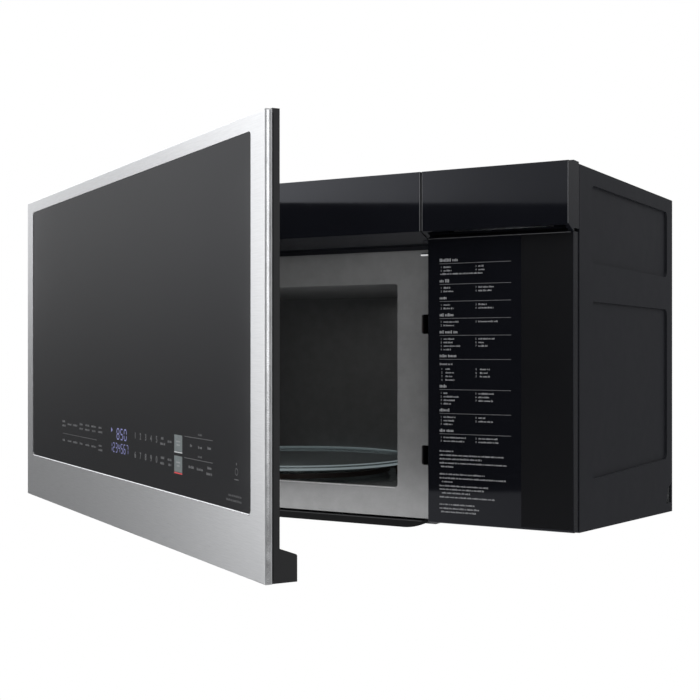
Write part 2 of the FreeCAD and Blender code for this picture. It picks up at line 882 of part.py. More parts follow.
def charcoal_filter():
    """Filter cassette behind the outlet: a frame round a pleated pad."""
    xs = grown((-outlet_half_width, outlet_half_width), filter_overlap)
    heights = grown((outlet_low, outlet_high), filter_overlap)
    cassette = block(xs, (sheet, sheet + charcoal_thickness), heights)
    for depths in ((0, sheet + 3), (sheet + charcoal_thickness - 3, sheet + charcoal_thickness + 1)):
        cassette = cassette.cut(block(grown(xs, -8.0), depths, grown(heights, -8.0)))
    return cassette


def guide_panel():
    """Front panel of the electronics compartment, with posts for the board behind it."""
    xs = (guide_left, half_width - sheet)
    panel = block(xs, (-guide_proud, 0), (0, guide_height))
    front_edges = [edge for edge in panel.Edges
                   if all(abs(v.Y - point(0, -guide_proud, 0).y) < 1e-6 for v in edge.Vertexes)]
    panel = panel.makeFillet(guide_edge_radius, front_edges)
    panel = panel.cut(block(grown(xs, -guide_wall), (-guide_proud + guide_wall, 1),
                            grown((0, guide_height), -guide_wall)))
    posts = []
    for x in grown((board_left, board_right), -post_inset):
        for height in grown((board_low, board_high), -post_inset):
            posts.append(rod(point(x, -guide_proud + guide_wall, height), Y_AXIS, post_radius,
                             guide_proud - guide_wall + board_depth))
    return joined([panel] + posts)


# ------------------------------------------------------------------ underside

def base_pan():
    """Sloping bottom sheet with the filter and lamp openings and the visor's notch."""
    edge = side_inner - slip
    pan = block((-edge, edge), (pan_front, chassis_depth), (0, sheet))
    for side in (-1, 1):
        pan = pan.fuse(block((side * (edge - sheet), side * edge), (pan_front, rear_face_depth - 2 * sheet),
                             (sheet, flange_width)))
        xs = (side * (filter_inner_x - filter_clearance),
              side * (filter_inner_x + filter_width + filter_slack))
        depths = grown((filter_front, filter_front + filter_length), filter_clearance)
        pan = pan.cut(block(xs, depths, (-1, 2 * sheet)))
    pan = pan.cut(block(grown((-visor_half_width, visor_half_width), rail_width / 2 + 1),
                        (0, pan_notch), (-1, 2 * sheet)))
    lens = block(grown((-lens_width / 2, lens_width / 2), slip),
                 grown((lens_front, lens_front + lens_length), slip), (-1, 2 * sheet))
    return on_slope(pan.removeSplitter().cut(lens))


def grease_filter(side):
    """Aluminium filter with a long outer and a short inner tongue that lie on the pan."""
    inner = side * filter_inner_x
    outer = side * (filter_inner_x + filter_width)
    depths = (filter_front, filter_front + filter_length)
    body = block((inner, outer), depths, (0, filter_thickness))
    body = rounded(body, Z_AXIS, 5.0)
    opening = grown((inner, outer), -filter_border)
    for heights in ((-1, filter_recess), (filter_thickness - filter_recess, filter_thickness + 1)):
        body = body.cut(block(opening, grown(depths, -filter_border), heights))
    middle = sum(depths) / 2
    width = (middle - tongue_width / 2, middle + tongue_width / 2)
    heights = (sheet + 0.3, sheet + 0.3 + tongue_thickness)
    long_tongue = block((outer - side * 2, outer + side * (filter_slack + tongue_long)), width, heights)
    short_tongue = block((inner + side * 2, inner - side * tongue_short), width, heights)
    return on_slope(joined([body, long_tongue, short_tongue]))


def grease_filter_left():
    return grease_filter(-1)


def grease_filter_right():
    return grease_filter(1)


def cooktop_lamp_lens():
    """Frosted lens tray that hangs by its flange in the pan's opening."""
    xs = (-lens_width / 2, lens_width / 2)
    depths = (lens_front, lens_front + lens_length)
    tray = block(xs, depths, (0, lens_height))
    flange = block(grown(xs, lens_flange), grown(depths, lens_flange), (sheet, sheet + lens_wall))
    hollow = block(grown(xs, -lens_wall), grown(depths, -lens_wall), (lens_wall, lens_height + 1))
    return on_slope(joined([tray, flange]).cut(hollow))


def cooktop_led_board():
    """Lamp board on the lens tray, with its light chips below."""
    board = block((-lens_width / 2, lens_width / 2), (lens_front, lens_front + lens_length),
                  (lens_height, lens_height + board_thickness))
    chips = []
    for step in (-2, -1, 0, 1, 2):
        x = step * lens_width / 6
        middle = lens_front + lens_length / 2
        chips.append(block((x - 3, x + 3), (middle - 3, middle + 3), (lens_height - 1.2, lens_height)))
    return on_slope(joined([board] + chips))


def visor_rails():
    """Two grooved runners on the pan that guide the pull-out visor."""
    low = visor_top - visor_plate - visor_clearance - rail_wall
    high = visor_top + visor_clearance + 2 * rail_wall
    rear = rail_front + rail_length
    foot = pan_notch + rail_wall
    outline = [(rail_front, low), (foot, low), (foot, pan_top(foot)), (rear, pan_top(rear)),
               (rear, high), (rail_front, high)]
    inner = visor_half_width - rail_width / 2
    rail = slab_along_x(outline, (inner, inner + rail_width))
    groove = block((inner - 1, visor_half_width + visor_clearance), (0, rear + 1),
                   (low + rail_wall, visor_top + visor_clearance))
    rail = rail.cut(groove)
    return Part.makeCompound([rail, mirrored(rail)])


def vent_visor():
    """Pull-out plate below the door with a curved front lip."""
    plate = block((-visor_half_width, visor_half_width), (0, visor_length),
                  (visor_top - visor_plate, visor_top))
    flat = visor_half_width - visor_end_curve
    end = visor_top - visor_end_drop
    corners = [point(-visor_half_width, 0, visor_top), point(visor_half_width, 0, visor_top),
               point(visor_half_width, 0, end)]
    bend_x = flat + visor_end_curve * 0.58
    bend_height = visor_lip_bottom + (end - visor_lip_bottom) * 0.26
    right = Part.Arc(point(visor_half_width, 0, end), point(bend_x, 0, bend_height),
                     point(flat, 0, visor_lip_bottom)).toShape()
    left = Part.Arc(point(-flat, 0, visor_lip_bottom), point(-bend_x, 0, bend_height),
                    point(-visor_half_width, 0, end)).toShape()
    bottom = Part.makeLine(point(flat, 0, visor_lip_bottom), point(-flat, 0, visor_lip_bottom))
    closing = Part.makeLine(point(-visor_half_width, 0, end), corners[0])
    outline = Part.Wire([Part.makeLine(corners[0], corners[1]), Part.makeLine(corners[1], corners[2]),
                         right, bottom, left, closing])
    lip = Part.Face(outline).extrude(Vector(0, -visor_lip, 0))
    return joined([plate, lip])


# ------------------------------------------------------------------ turntable

def turntable_motor():
    top = cavity_bottom
    body = rod(point(tray_x, tray_depth, top - turntable_motor_height), Z_AXIS,
               turntable_motor_radius, turntable_motor_height)
    ear = block((tray_x - turntable_motor_radius - 9, tray_x + turntable_motor_radius + 9),
                (tray_depth - 6, tray_depth + 6), (top - 1.5, top))
    bore = rod(point(tray_x, tray_depth, top - turntable_motor_height + 3), Z_AXIS,
               shaft_radius + shaft_clearance, turntable_motor_height)
    return joined([body, ear]).cut(bore)


def drive_coupler():
    """Three-armed coupler on its shaft; it turns the glass tray by the pips below it."""
    low = cavity_floor + 0.5
    high = tray_height - 0.3
    shaft = rod(point(tray_x, tray_depth, cavity_bottom - turntable_motor_height + 3.3), Z_AXIS,
                shaft_radius, turntable_motor_height + sheet)
    hub = rod(point(tray_x, tray_depth, low), Z_AXIS, coupler_hub_radius, high - low)
    shapes = [hub, shaft]
    for index in range(3):
        arm = block((tray_x, tray_x + coupler_radius), grown((tray_depth, tray_depth), coupler_arm / 2),
                    (high - pip_height - 1, high))
        arm.rotate(point(tray_x, tray_depth, 0), Z_AXIS, 120 * index)
        shapes.append(arm)
    return joined(shapes)


def glass_tray():
    """Turned glass dish with a raised rim and three driving pips."""
    base = rod(point(tray_x, tray_depth, tray_height), Z_AXIS, tray_radius - tray_rim_width, tray_glass)
    centre = point(tray_x, tray_depth, 0)
    inner = tray_radius - tray_rim_width
    outline = [(inner - 1, tray_height), (inner + 2, tray_height),
               (tray_radius, tray_height + tray_rim_height),
               (tray_radius, tray_height + tray_rim_height + tray_glass - 1.0),
               (tray_radius - 1, tray_height + tray_rim_height + tray_glass),
               (tray_radius - 3, tray_height + tray_rim_height + tray_glass),
               (inner, tray_height + tray_glass), (inner - 1, tray_height + tray_glass)]
    points = [Vector(centre.x + radius, centre.y, height + door_bottom_z) for radius, height in outline]
    rim = Part.Face(Part.makePolygon(points + points[:1])).revolve(centre, Z_AXIS, 360)
    shapes = [base, rim]
    for index in range(3):
        turn = math.radians(60 + 120 * index)
        x = tray_x + pip_circle_radius * math.cos(turn)
        depth = tray_depth + pip_circle_radius * math.sin(turn)
        shapes.append(rod(point(x, depth, tray_height - pip_height), Z_AXIS, pip_radius, pip_height + 0.5))
    return joined(shapes)


def roller_angle(index):
    return 120 * index - 90


def roller_ring():
    """Ring with three outward axles that carry the rollers."""
    low = roller_axis_height - ring_height / 2
    ring_outer = ring_inner_radius + ring_width
    ring = tube(point(tray_x, tray_depth, low), Z_AXIS, ring_outer, ring_inner_radius, ring_height)
    shapes = [ring]
    roller_outer = roller_track_radius + roller_width / 2
    for index in range(3):
        start = point(tray_x + ring_outer - 1, tray_depth, roller_axis_height)
        axle = rod(start, X_AXIS, axle_radius, roller_outer + 2.0 - ring_outer + 1)
        head = rod(point(tray_x + roller_outer + 0.4, tray_depth, roller_axis_height), X_AXIS,
                   axle_radius + 0.9, 1.8)
        for shape in (axle, head):
            shape.rotate(point(tray_x, tray_depth, 0), Z_AXIS, roller_angle(index))
            shapes.append(shape)
    return joined(shapes)


def roller(index):
    start = point(tray_x + roller_track_radius - roller_width / 2, tray_depth, roller_axis_height)
    wheel = tube(start, X_AXIS, roller_radius, axle_radius + roller_bore_clearance, roller_width)
    wheel.rotate(point(tray_x, tray_depth, 0), Z_AXIS, roller_angle(index))
    return wheel


def roller_1():
    return roller(0)


def roller_2():
    return roller(1)


def roller_3():
    return roller(2)


# ------------------------------------------------------------------ ventilation blower

def blower_axis(x):
    return point(x, exhaust_centre_depth, blower_height)


def blower_motor():
    body = rod(blower_axis(-blower_motor_half), X_AXIS, blower_motor_radius, 2 * blower_motor_half)
    foot = block((-30.0, 30.0), (exhaust_centre_depth - 22, exhaust_centre_depth + 22),
                 (cavity_outer_top, blower_height - blower_motor_radius / 2))
    bore = rod(blower_axis(-blower_motor_half - 1), X_AXIS, blower_shaft_radius + shaft_clearance,
               2 * blower_motor_half + 2)
    return joined([body, foot]).cut(bore)


def blower_shaft():
    end = blower_wheel_start + wheel_width
    return rod(blower_axis(-end), X_AXIS, blower_shaft_radius, 2 * end)


def blower_wheel():
    """Right blower wheel: hub disc, outer ring and curved-fan blades between them."""
    start = blower_wheel_start
    disc = rod(blower_axis(start), X_AXIS, wheel_radius, 2.0)
    hub = rod(blower_axis(start), X_AXIS, 3 * blower_shaft_radius, wheel_width / 2)
    ring = tube(blower_axis(start + wheel_width - 2), X_AXIS, wheel_radius, wheel_radius - blade_depth, 2.0)
    shapes = [disc, hub, ring]
    for index in range(blade_count):
        blade = block((start, start + wheel_width),
                      grown((exhaust_centre_depth, exhaust_centre_depth), blade_thickness / 2),
                      (blower_height + wheel_radius - blade_depth, blower_height + wheel_radius - 0.3))
        blade.rotate(blower_axis(0) + Vector(0, 0, wheel_radius - blade_depth / 2), X_AXIS, 25)
        blade.rotate(blower_axis(0), X_AXIS, index * 360 / blade_count)
        shapes.append(blade)
    wheel = joined(shapes)
    bore = rod(blower_axis(start - 1), X_AXIS, blower_shaft_radius + slip / 4, wheel_width)
    return wheel.cut(bore)


def blower_wheels():
    wheel = blower_wheel()
    return Part.makeCompound([wheel, mirrored(wheel)])


def blower_housing():
    """Two scrolls that blow up through the exhaust opening, each on its own foot."""
    xs = grown((blower_wheel_start, blower_wheel_start + wheel_width), scroll_wall + 2)
    top = front_height - scroll_outlet_drop
    half = exhaust_width / 2
    neck_depths = (exhaust_centre_depth - half, exhaust_centre_depth + half)
    outer = rod(blower_axis(xs[0]), X_AXIS, scroll_radius, xs[1] - xs[0])
    neck = block(xs, neck_depths, (blower_height, top))
    foot = block(xs, grown((exhaust_centre_depth, exhaust_centre_depth), 30),
                 (cavity_outer_top, blower_height))
    inner_xs = grown(xs, -scroll_wall)
    inner = rod(blower_axis(inner_xs[0]), X_AXIS, scroll_radius - scroll_wall, inner_xs[1] - inner_xs[0])
    throat = block(inner_xs, grown(neck_depths, -scroll_wall), (blower_height, top + 1))
    inlet = rod(blower_axis(xs[0] - 1), X_AXIS, scroll_inlet_radius, xs[1] - xs[0] + 2)
    scroll = joined([outer, neck, foot]).cut(inner.fuse(throat)).cut(inlet)
    return Part.makeCompound([scroll, mirrored(scroll)])


# ------------------------------------------------------------------ electronics compartment

def magnetron():
    """Tube with its cooling fins inside a steel yoke; the antenna enters the waveguide."""
    left = cavity_outer_right + waveguide_width
    middle = waveguide_front + waveguide_length / 2
    half = magnetron_size / 2
    xs = (left, left + magnetron_size)
    depths = (middle - magnetron_length / 2, middle + magnetron_length / 2)
    heights = (magnetron_height - half, magnetron_height + half)
    yoke = block(xs, depths, heights)
    yoke = yoke.cut(block(grown(xs, -2.0), grown(depths, 1.0), grown(heights, -2.0)))
    body = rod(point(left, middle, magnetron_height), X_AXIS, magnetron_size / 4, magnetron_size)
    antenna = rod(point(left - antenna_length, middle, magnetron_height), X_AXIS,
                  antenna_radius, antenna_length)
    shapes = [yoke, body, antenna]
    for index in range(magnetron_fins):
        x = left + magnetron_size * (index + 1) / (magnetron_fins + 1)
        shapes.append(block((x - 0.5, x + 0.5), grown(depths, -6.0), grown(heights, -1.0)))
    return joined(shapes)


def high_voltage_transformer():
    """Laminated core with two windings, on a wedge that levels it on the pan."""
    xs = (transformer_x - transformer_width / 2, transformer_x + transformer_width / 2)
    depths = (transformer_depth - transformer_length / 2, transformer_depth + transformer_length / 2)
    base_top = pan_top(depths[0]) + transformer_base
    outline = [(depths[0], pan_top(depths[0])), (depths[1], pan_top(depths[1])),
               (depths[1], base_top), (depths[0], base_top)]
    wedge = slab_along_x(outline, (xs[0] - 12, xs[1] + 12))
    core = block(xs, grown(depths, -12.0), (base_top, base_top + transformer_height))
    coil = block(grown(xs, -14.0), depths, (base_top + 14, base_top + transformer_height - 14))
    return joined([wedge, core, rounded(coil, Z_AXIS, 10.0)])


def high_voltage_capacitor():
    """Flattened can clamped to the fan shroud, with two terminals."""
    right = side_inner - 14.0
    xs = (right - capacitor_width, right)
    heights = (fan_shroud_low + 8, fan_shroud_low + 8 + capacitor_height)
    can = block(xs, (fan_shroud_depth - capacitor_length, fan_shroud_depth), heights)
    can = rounded(can, Y_AXIS, capacitor_height / 2 - 1)
    shapes = [can]
    for x in (right - capacitor_width / 3, right - 2 * capacitor_width / 3):
        shapes.append(block((x - 3, x + 3), (fan_shroud_depth - capacitor_length - 8, fan_shroud_depth - 20),
                            (sum(heights) / 2 - 0.5, sum(heights) / 2 + 0.5)))
    return joined(shapes)


def fan_arm_depths():
    """Front and rear of the arms that carry the fan motor behind the shroud."""
    front = fan_shroud_depth + 1.5 * sheet
    return (front, front + fan_arm_thickness)


def cooling_fan_shroud():
    """Baffle across the compartment with the fan's ring and the motor's four arms."""
    plate = block((cavity_outer_right, side_inner - slip), (fan_shroud_depth, fan_shroud_depth + 1.5),
                  (fan_shroud_low, fan_shroud_high))
    plate = plate.cut(block((side_inner - pocket_depth - 1, half_width), (0, chassis_depth),
                            (0, front_height)))
    centre = point(fan_x, fan_shroud_depth - 6, fan_height)
    outer = fan_radius + fan_clearance + 2
    ring = tube(centre, Y_AXIS, outer, fan_radius + fan_clearance, 8)
    plate = plate.cut(rod(centre, Y_AXIS, fan_radius + fan_clearance, 20))
    arms = []
    for height in grown((fan_height, fan_height), fan_arm_height / 2):
        bar = block(grown((fan_x, fan_x), outer + 4), fan_arm_depths(),
                    grown((height, height), fan_arm_width / 2))
        arms.append(bar)
    return joined([plate, ring] + arms)


def cooling_fan_motor():
    front = fan_arm_depths()[1]
    body = block(grown((fan_x, fan_x), fan_motor_size / 2), (front, front + fan_motor_length),
                 grown((fan_height, fan_height), fan_motor_size / 2))
    bore = rod(point(fan_x, front - 1, fan_height), Y_AXIS, shaft_radius + shaft_clearance,
               0.75 * fan_motor_length + 1)
    return rounded(body, Y_AXIS, 6.0).cut(bore)


def cooling_fan_blade():
    """Axial fan wheel with its shaft, which runs in the motor."""
    front = fan_shroud_depth - fan_hub_length - 2
    hub = rod(point(fan_x, front, fan_height), Y_AXIS, fan_hub_radius, fan_hub_length)
    shaft_end = fan_arm_depths()[1] + fan_motor_length * 2 / 3
    shaft = rod(point(fan_x, front, fan_height), Y_AXIS, shaft_radius, shaft_end - front)
    shapes = [hub, shaft]
    for index in range(fan_blades):
        middle = front + fan_hub_length / 2
        blade = block((fan_x - fan_blade_width / 2, fan_x + fan_blade_width / 2),
                      (middle - fan_blade_thickness / 2, middle + fan_blade_thickness / 2),
                      (fan_height + 0.7 * fan_hub_radius, fan_height + fan_radius))
        blade.rotate(point(fan_x, front + fan_hub_length / 2, fan_height), Z_AXIS, fan_blade_pitch)
        blade.rotate(point(fan_x, 0, fan_height), Y_AXIS, index * 360 / fan_blades)
        shapes.append(blade)
    return joined(shapes)


def control_power_board():
    """Board behind the guide panel with relays, a low-voltage transformer and capacitors."""
    depths = (board_depth, board_depth + board_thickness)
    shapes = [block((board_left, board_right), depths, (board_low, board_high))]
    relay_high = board_high - board_margin
    for step in range(4):
        x = board_left + board_margin + relay_pitch * step
        shapes.append(block((x, x + relay_width), (depths[0], depths[1] + relay_proud),
                            (relay_high - relay_height, relay_high)))
    coil_low = board_low + board_margin
    coil_left = board_left + board_margin
    shapes.append(block((coil_left, coil_left + board_coil_size), (depths[0], depths[1] + board_coil_proud),
                        (coil_low, coil_low + board_coil_size)))
    for step in range(3):
        x = board_right - board_margin - board_can_radius * (1 + 2.6 * step)
        shapes.append(rod(point(x, depths[0], coil_low + board_coil_size / 2), Y_AXIS, board_can_radius,
                          board_can_proud))
    return joined(shapes)


# ------------------------------------------------------------------ interlock

def switch_lows():
    """Lower faces of the three interlock switches, two on the upper hook and one on the lower."""
    first = upper_latch_slot + 1.3
    return (first, first + switch_thickness + switch_gap, lower_latch_slot + 2.4)


def latch_board():
    """Plastic carrier behind the front plate, with a channel for the hooks and switches."""
    xs = grown((latch_slot_left, latch_slot_left + latch_slot_width), latch_board_wall + 3)
    heights = (lower_latch_slot - 14, upper_latch_slot + latch_slot_height + 14)
    board = block(xs, (front_plate_thickness, latch_board_depth), heights)
    channel = block(grown(xs, -latch_board_wall), (0, latch_board_depth - latch_board_wall),
                    grown(heights, -latch_board_wall))
    return board.cut(channel)


def interlock_switches():
    bodies = []
    for low in switch_lows():
        body = block((latch_centre_x - switch_width / 2, latch_centre_x + switch_width / 2),
                     (switch_front_depth, switch_rear_depth), (low, low + switch_thickness))
        bore = rod(point(latch_centre_x, switch_front_depth - 1, low + switch_thickness / 2), Y_AXIS,
                   plunger_radius + plunger_clearance, plunger_buried + plunger_travel + 2)
        bodies.append(body.cut(bore))
    return Part.makeCompound(bodies)


def switch_plungers():
    plungers = []
    for low in switch_lows():
        middle = low + switch_thickness / 2
        plungers.append(rod(point(latch_centre_x, switch_front_depth - plunger_proud, middle),
                            Y_AXIS, plunger_radius, plunger_proud + plunger_buried))
    return Part.makeCompound(plungers)


# ------------------------------------------------------------------ hinge

def hinge_brackets():
    """Chassis side of the hinge: a tab with the pin and an inner leg, above and below."""
    outer_x = side_inner - 2 * sheet - slip
    xs = (-outer_x + slip, hinge_x + hinge_boss_radius + 2.5)
    depths = (hinge_depth - hinge_tab_front, 22.0)
    brackets = []
    upper_tab = upper_arm_height + hinge_plate + hinge_side_gap
    lower_tab = lower_arm_height - hinge_side_gap - hinge_plate
    for tab_low, leg, pin_low, pin_high in (
            (upper_tab, grown((upper_tab, upper_tab), hinge_leg_height / 2), upper_arm_height - 0.7,
             upper_tab + 1),
            (lower_tab, (lower_tab, lower_tab + hinge_leg_height), lower_tab + 1,
             lower_arm_height + hinge_plate + 0.6)):
        tab = block(xs, depths, (tab_low, tab_low + hinge_plate))
        plate = block((xs[0], xs[0] + 2.0), (front_plate_thickness + 1, hinge_leg_depth), leg)
        pin = rod(point(hinge_x, hinge_depth, pin_low), Z_AXIS, hinge_pin_radius, pin_high - pin_low)
        brackets.append(joined([tab, plate, pin]))
    return Part.makeCompound(brackets)


def door_hinge_arms():
    """Door side of the hinge: an arm with the pin's eye on each end of the back frame."""
    arms = []
    for low, leg in ((upper_arm_height, (upper_arm_height, upper_arm_height + 19.5)),
                     (lower_arm_height, (lower_arm_height, choke_low - 0.5))):
        heights = (low, low + hinge_plate)
        arm = block((hinge_x - hinge_arm_left, hinge_x + hinge_boss_radius),
                    (door_back_depth, hinge_depth), heights)
        foot = block((hinge_x - hinge_arm_left, hinge_x + hinge_arm_right),
                     (door_back_depth, door_back_depth + door_gap), leg)
        eye = rod(point(hinge_x, hinge_depth, low), Z_AXIS, hinge_boss_radius, hinge_plate)
        hole = rod(point(hinge_x, hinge_depth, low - 1), Z_AXIS, hinge_pin_radius + hinge_pin_clearance,
                   hinge_plate + 2)
        arms.append(joined([arm, foot, eye]).cut(hole))
    return opened(Part.makeCompound(arms))


# ------------------------------------------------------------------ door

def door_skin():
    """Brushed steel front frame: a folded rim round the glass opening."""
    outer = block((-half_width, half_width), (door_front_depth, skin_back_depth), (0, door_height))
    front_edges = [edge for edge in outer.Edges
                   if all(abs(v.Y - point(0, door_front_depth, 0).y) < 1e-6 for v in edge.Vertexes)]
    outer = outer.makeFillet(skin_edge_radius, front_edges)
    hollow = block(grown((-half_width, half_width), -skin_wall),
                   (door_front_depth + skin_wall, skin_back_depth + 1), grown((0, door_height), -skin_wall))
    xs = (-half_width + frame_side, half_width - frame_side)
    heights = (frame_bottom, door_height - frame_top)
    bezel_depths = (door_front_depth + skin_wall / 2, door_front_depth + bezel_depth)
    bezel = rounded(block(grown(xs, skin_wall), bezel_depths, grown(heights, skin_wall)), Y_AXIS,
                    glass_radius + skin_wall)
    opening = rounded(block(xs, (door_front_depth - 1, skin_back_depth + 1), heights), Y_AXIS, glass_radius)
    return opened(outer.cut(hollow).fuse(bezel).removeSplitter().cut(opening))


def door_glass():
    xs = grown((-half_width + frame_side, half_width - frame_side), -slip)
    heights = grown((frame_bottom, door_height - frame_top), -slip)
    pane = block(xs, (glass_front_depth, glass_back_depth), heights)
    return opened(rounded(pane, Y_AXIS, glass_radius - slip))


def door_back_frame():
    """Black plastic rear half of the door, with the latch housing on its back."""
    xs = grown((-half_width, half_width), -back_frame_inset)
    heights = (slip, door_height + back_frame_rise)
    front = skin_back_depth + back_frame_gap
    frame = block(xs, (front, door_back_depth), heights)
    frame = frame.cut(block(grown(xs, -back_frame_wall), (front - 1, door_back_depth - back_frame_wall),
                            grown(heights, -back_frame_wall)))
    frame = frame.cut(block(grown(window_x, choke_sheet + slip),
                            (front - 1, door_back_depth + 1), grown(window_h, choke_sheet + slip)))
    housing_x = (latch_slot_left, latch_slot_left + latch_slot_width)
    housing_h = (lower_latch_slot - latch_housing_below, upper_latch_slot + latch_housing_above)
    housing_d = (door_back_depth, door_back_depth + latch_housing_depth)
    housing = block(housing_x, housing_d, housing_h)
    room = block(grown(housing_x, -latch_housing_wall), (housing_d[0], housing_d[1] - latch_housing_wall),
                 grown(housing_h, -latch_housing_wall))
    housing = housing.cut(room)
    for low in (lower_latch_slot, upper_latch_slot):
        window = block((latch_centre_x - latch_thickness, latch_centre_x + latch_thickness),
                       (housing_d[1] - 2 * latch_housing_wall, housing_d[1] + 1),
                       (low, low + latch_head_height + latch_travel + 4))
        housing = housing.cut(window)
    return opened(joined([frame, housing]))


def choke_frame():
    """Steel inner door: a plate with a walled window and a flange towards the cavity."""
    plate_rear = door_back_depth - back_frame_wall - slip
    plate_depths = (plate_rear - choke_sheet, plate_rear)
    flange_rear = -choke_clearance - choke_wall - slip
    plate = block(grown(window_x, 14.0), plate_depths, grown(window_h, 14.0))
    wall = block(grown(window_x, choke_sheet), (plate_depths[0], flange_rear), grown(window_h, choke_sheet))
    flange = block(grown(window_x, choke_flange), (flange_rear - choke_sheet, flange_rear),
                   grown(window_h, choke_flange))
    hole = block(window_x, (plate_depths[0] - 1, flange_rear + 1), window_h)
    return opened(joined([plate, wall, flange]).cut(hole))


def choke_cover():
    """Plastic cover that closes the choke groove towards the cavity's front plate."""
    xs = (choke_left, choke_right)
    heights = (choke_low, choke_high)
    depths = (door_back_depth, -choke_clearance)
    cover = rounded(block(xs, depths, heights), Y_AXIS, 3.0)
    inside = block(grown(xs, -choke_wall), (depths[0] - 1, depths[1] - choke_wall),
                   grown(heights, -choke_wall))
    opening = block(grown(window_x, -window_lip), grown(depths, 1), grown(window_h, -window_lip))
    return opened(cover.cut(inside).cut(rounded(opening, Y_AXIS, 6.0)))


def window_screen():
    """Shield sheet across the window; its fine holes are left to the finish."""
    depth = door_back_depth - back_frame_wall - choke_sheet - slip
    screen = block(grown(window_x, -slip), (depth, depth + 0.8), grown(window_h, -slip))
    return opened(screen)


def inner_window():
    rear = -choke_clearance - choke_wall - slip
    pane = block(grown(window_x, -slip), (rear - window_pane, rear), grown(window_h, -slip))
    return opened(pane)


def handle_rail():
    """Pocket handle along the door's lower rear edge, open below for the fingers."""
    xs = (latch_slot_left, half_width - back_frame_inset)
    rear = door_back_depth + handle_depth
    outline = [(door_back_depth, slip), (rear, slip), (rear, handle_rear_height),
               (door_back_depth, handle_height)]
    rail = slab_along_x(outline, xs)
    corner = [edge for edge in edges_along(rail, X_AXIS)
              if abs(edge.Vertexes[0].Y - point(0, rear, 0).y) < 1e-6
              and edge.Vertexes[0].Z > point(0, 0, handle_rear_height - 1).z]
    rail = rail.makeFillet(handle_edge_radius, corner)
    pocket = block(grown(xs, -2 * handle_wall), (door_back_depth + handle_wall / 2, rear - handle_wall),
                   (-1, handle_pocket_height))
    return opened(rail.cut(pocket))


def hook_lows():
    return (lower_latch_slot + 2.0, upper_latch_slot + 2.0)


def latch_hooks():
    """Sliding bar with two hooks that reach through the front plate's slots."""
    xs = (latch_centre_x - latch_thickness / 2, latch_centre_x + latch_thickness / 2)
    housing_rear = door_back_depth + latch_housing_depth - latch_housing_wall
    bar_depths = (housing_rear - 2.0 - latch_bar_depth, housing_rear - 2.0)
    top = upper_latch_slot + latch_housing_above - latch_housing_wall - latch_bar_top_margin
    foot = lower_latch_slot - latch_housing_below + latch_housing_wall + latch_bottom_margin
    bar = block(xs, bar_depths, (foot, top))
    shapes = [bar]
    for low in hook_lows():
        shapes.append(block(xs, (bar_depths[0], latch_reach), (low, low + latch_stem_height)))
        shapes.append(block(xs, (latch_reach - latch_head_length, latch_reach),
                            (low, low + latch_head_height)))
    return opened(joined(shapes))


def latch_spring():
    """Coil spring that presses the hooks' bar down."""
    housing_rear = door_back_depth + latch_housing_depth - latch_housing_wall
    depth = housing_rear - 2.0 - latch_bar_depth / 2
    top = upper_latch_slot + latch_housing_above - latch_housing_wall
    half_wire = latch_spring_wire / 2
    length = latch_bar_top_margin - 2 * half_wire - slip
    start = point(latch_centre_x, depth, top - latch_bar_top_margin + half_wire + slip / 2)
    helix = Part.makeHelix(length / latch_spring_turns, length, latch_spring_radius)
    section = Part.Wire([Part.makeCircle(half_wire, Vector(latch_spring_radius, 0, 0), Y_AXIS)])
    coil = Part.Wire(helix.Edges).makePipeShell([section], True, True)
    coil.translate(start)
    return opened(coil)


def touch_board():
    """Sensor board bonded behind the glass, above the lower frame."""
    board = block((-touch_board_half_width, touch_board_half_width),
                  (glass_back_depth, glass_back_depth + board_thickness), (touch_board_low, touch_board_high))
    return opened(board)


def display_module():
    front = glass_back_depth + board_thickness
    middle = (touch_board_low + touch_board_high) / 2
    module = block((display_x - display_width / 2, display_x + display_width / 2),
                   (front, front + display_thickness),
                   (middle - display_height / 2, middle + display_height / 2))
    return opened(module)


# ------------------------------------------------------------------ write the pieces

PIECES = [
    side_panel_left, side_panel_right, top_plate, rear_plate, base_pan, cavity_front_plate, cavity_box,
    outlet_panel, vent_cover_left, vent_cover_right, guide_panel, charcoal_filter, wall_mounting_plate,
    hinge_brackets, cord_bushing, waveguide, waveguide_cover, magnetron, high_voltage_transformer,
    high_voltage_capacitor, control_power_board, turntable_motor, blower_housing, blower_motor,
    cooling_fan_shroud, cooling_fan_motor, cavity_lamp, latch_board, interlock_switches, thermal_cutouts,
    cooktop_lamp_lens, cooktop_led_board, visor_rails, chassis_screws,
    drive_coupler, glass_tray, roller_ring, roller_1, roller_2, roller_3,
    blower_wheels, blower_shaft, cooling_fan_blade, grease_filter_left, grease_filter_right,
    vent_visor, switch_plungers,
    door_skin, door_glass, door_back_frame, choke_frame, choke_cover, window_screen, inner_window,
    handle_rail, door_hinge_arms, latch_hooks, latch_spring, touch_board, display_module,
]

for make_piece in PIECES:
    name = make_piece.__name__
    shape = make_piece()
    shape.exportStep("parts/" + name + ".step")
    print(name, "valid" if shape.isValid() else "INVALID", len(shape.Solids), round(shape.Volume))
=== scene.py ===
import json
import math
import random
import bmesh
import bpy
from mathutils import Matrix, Vector


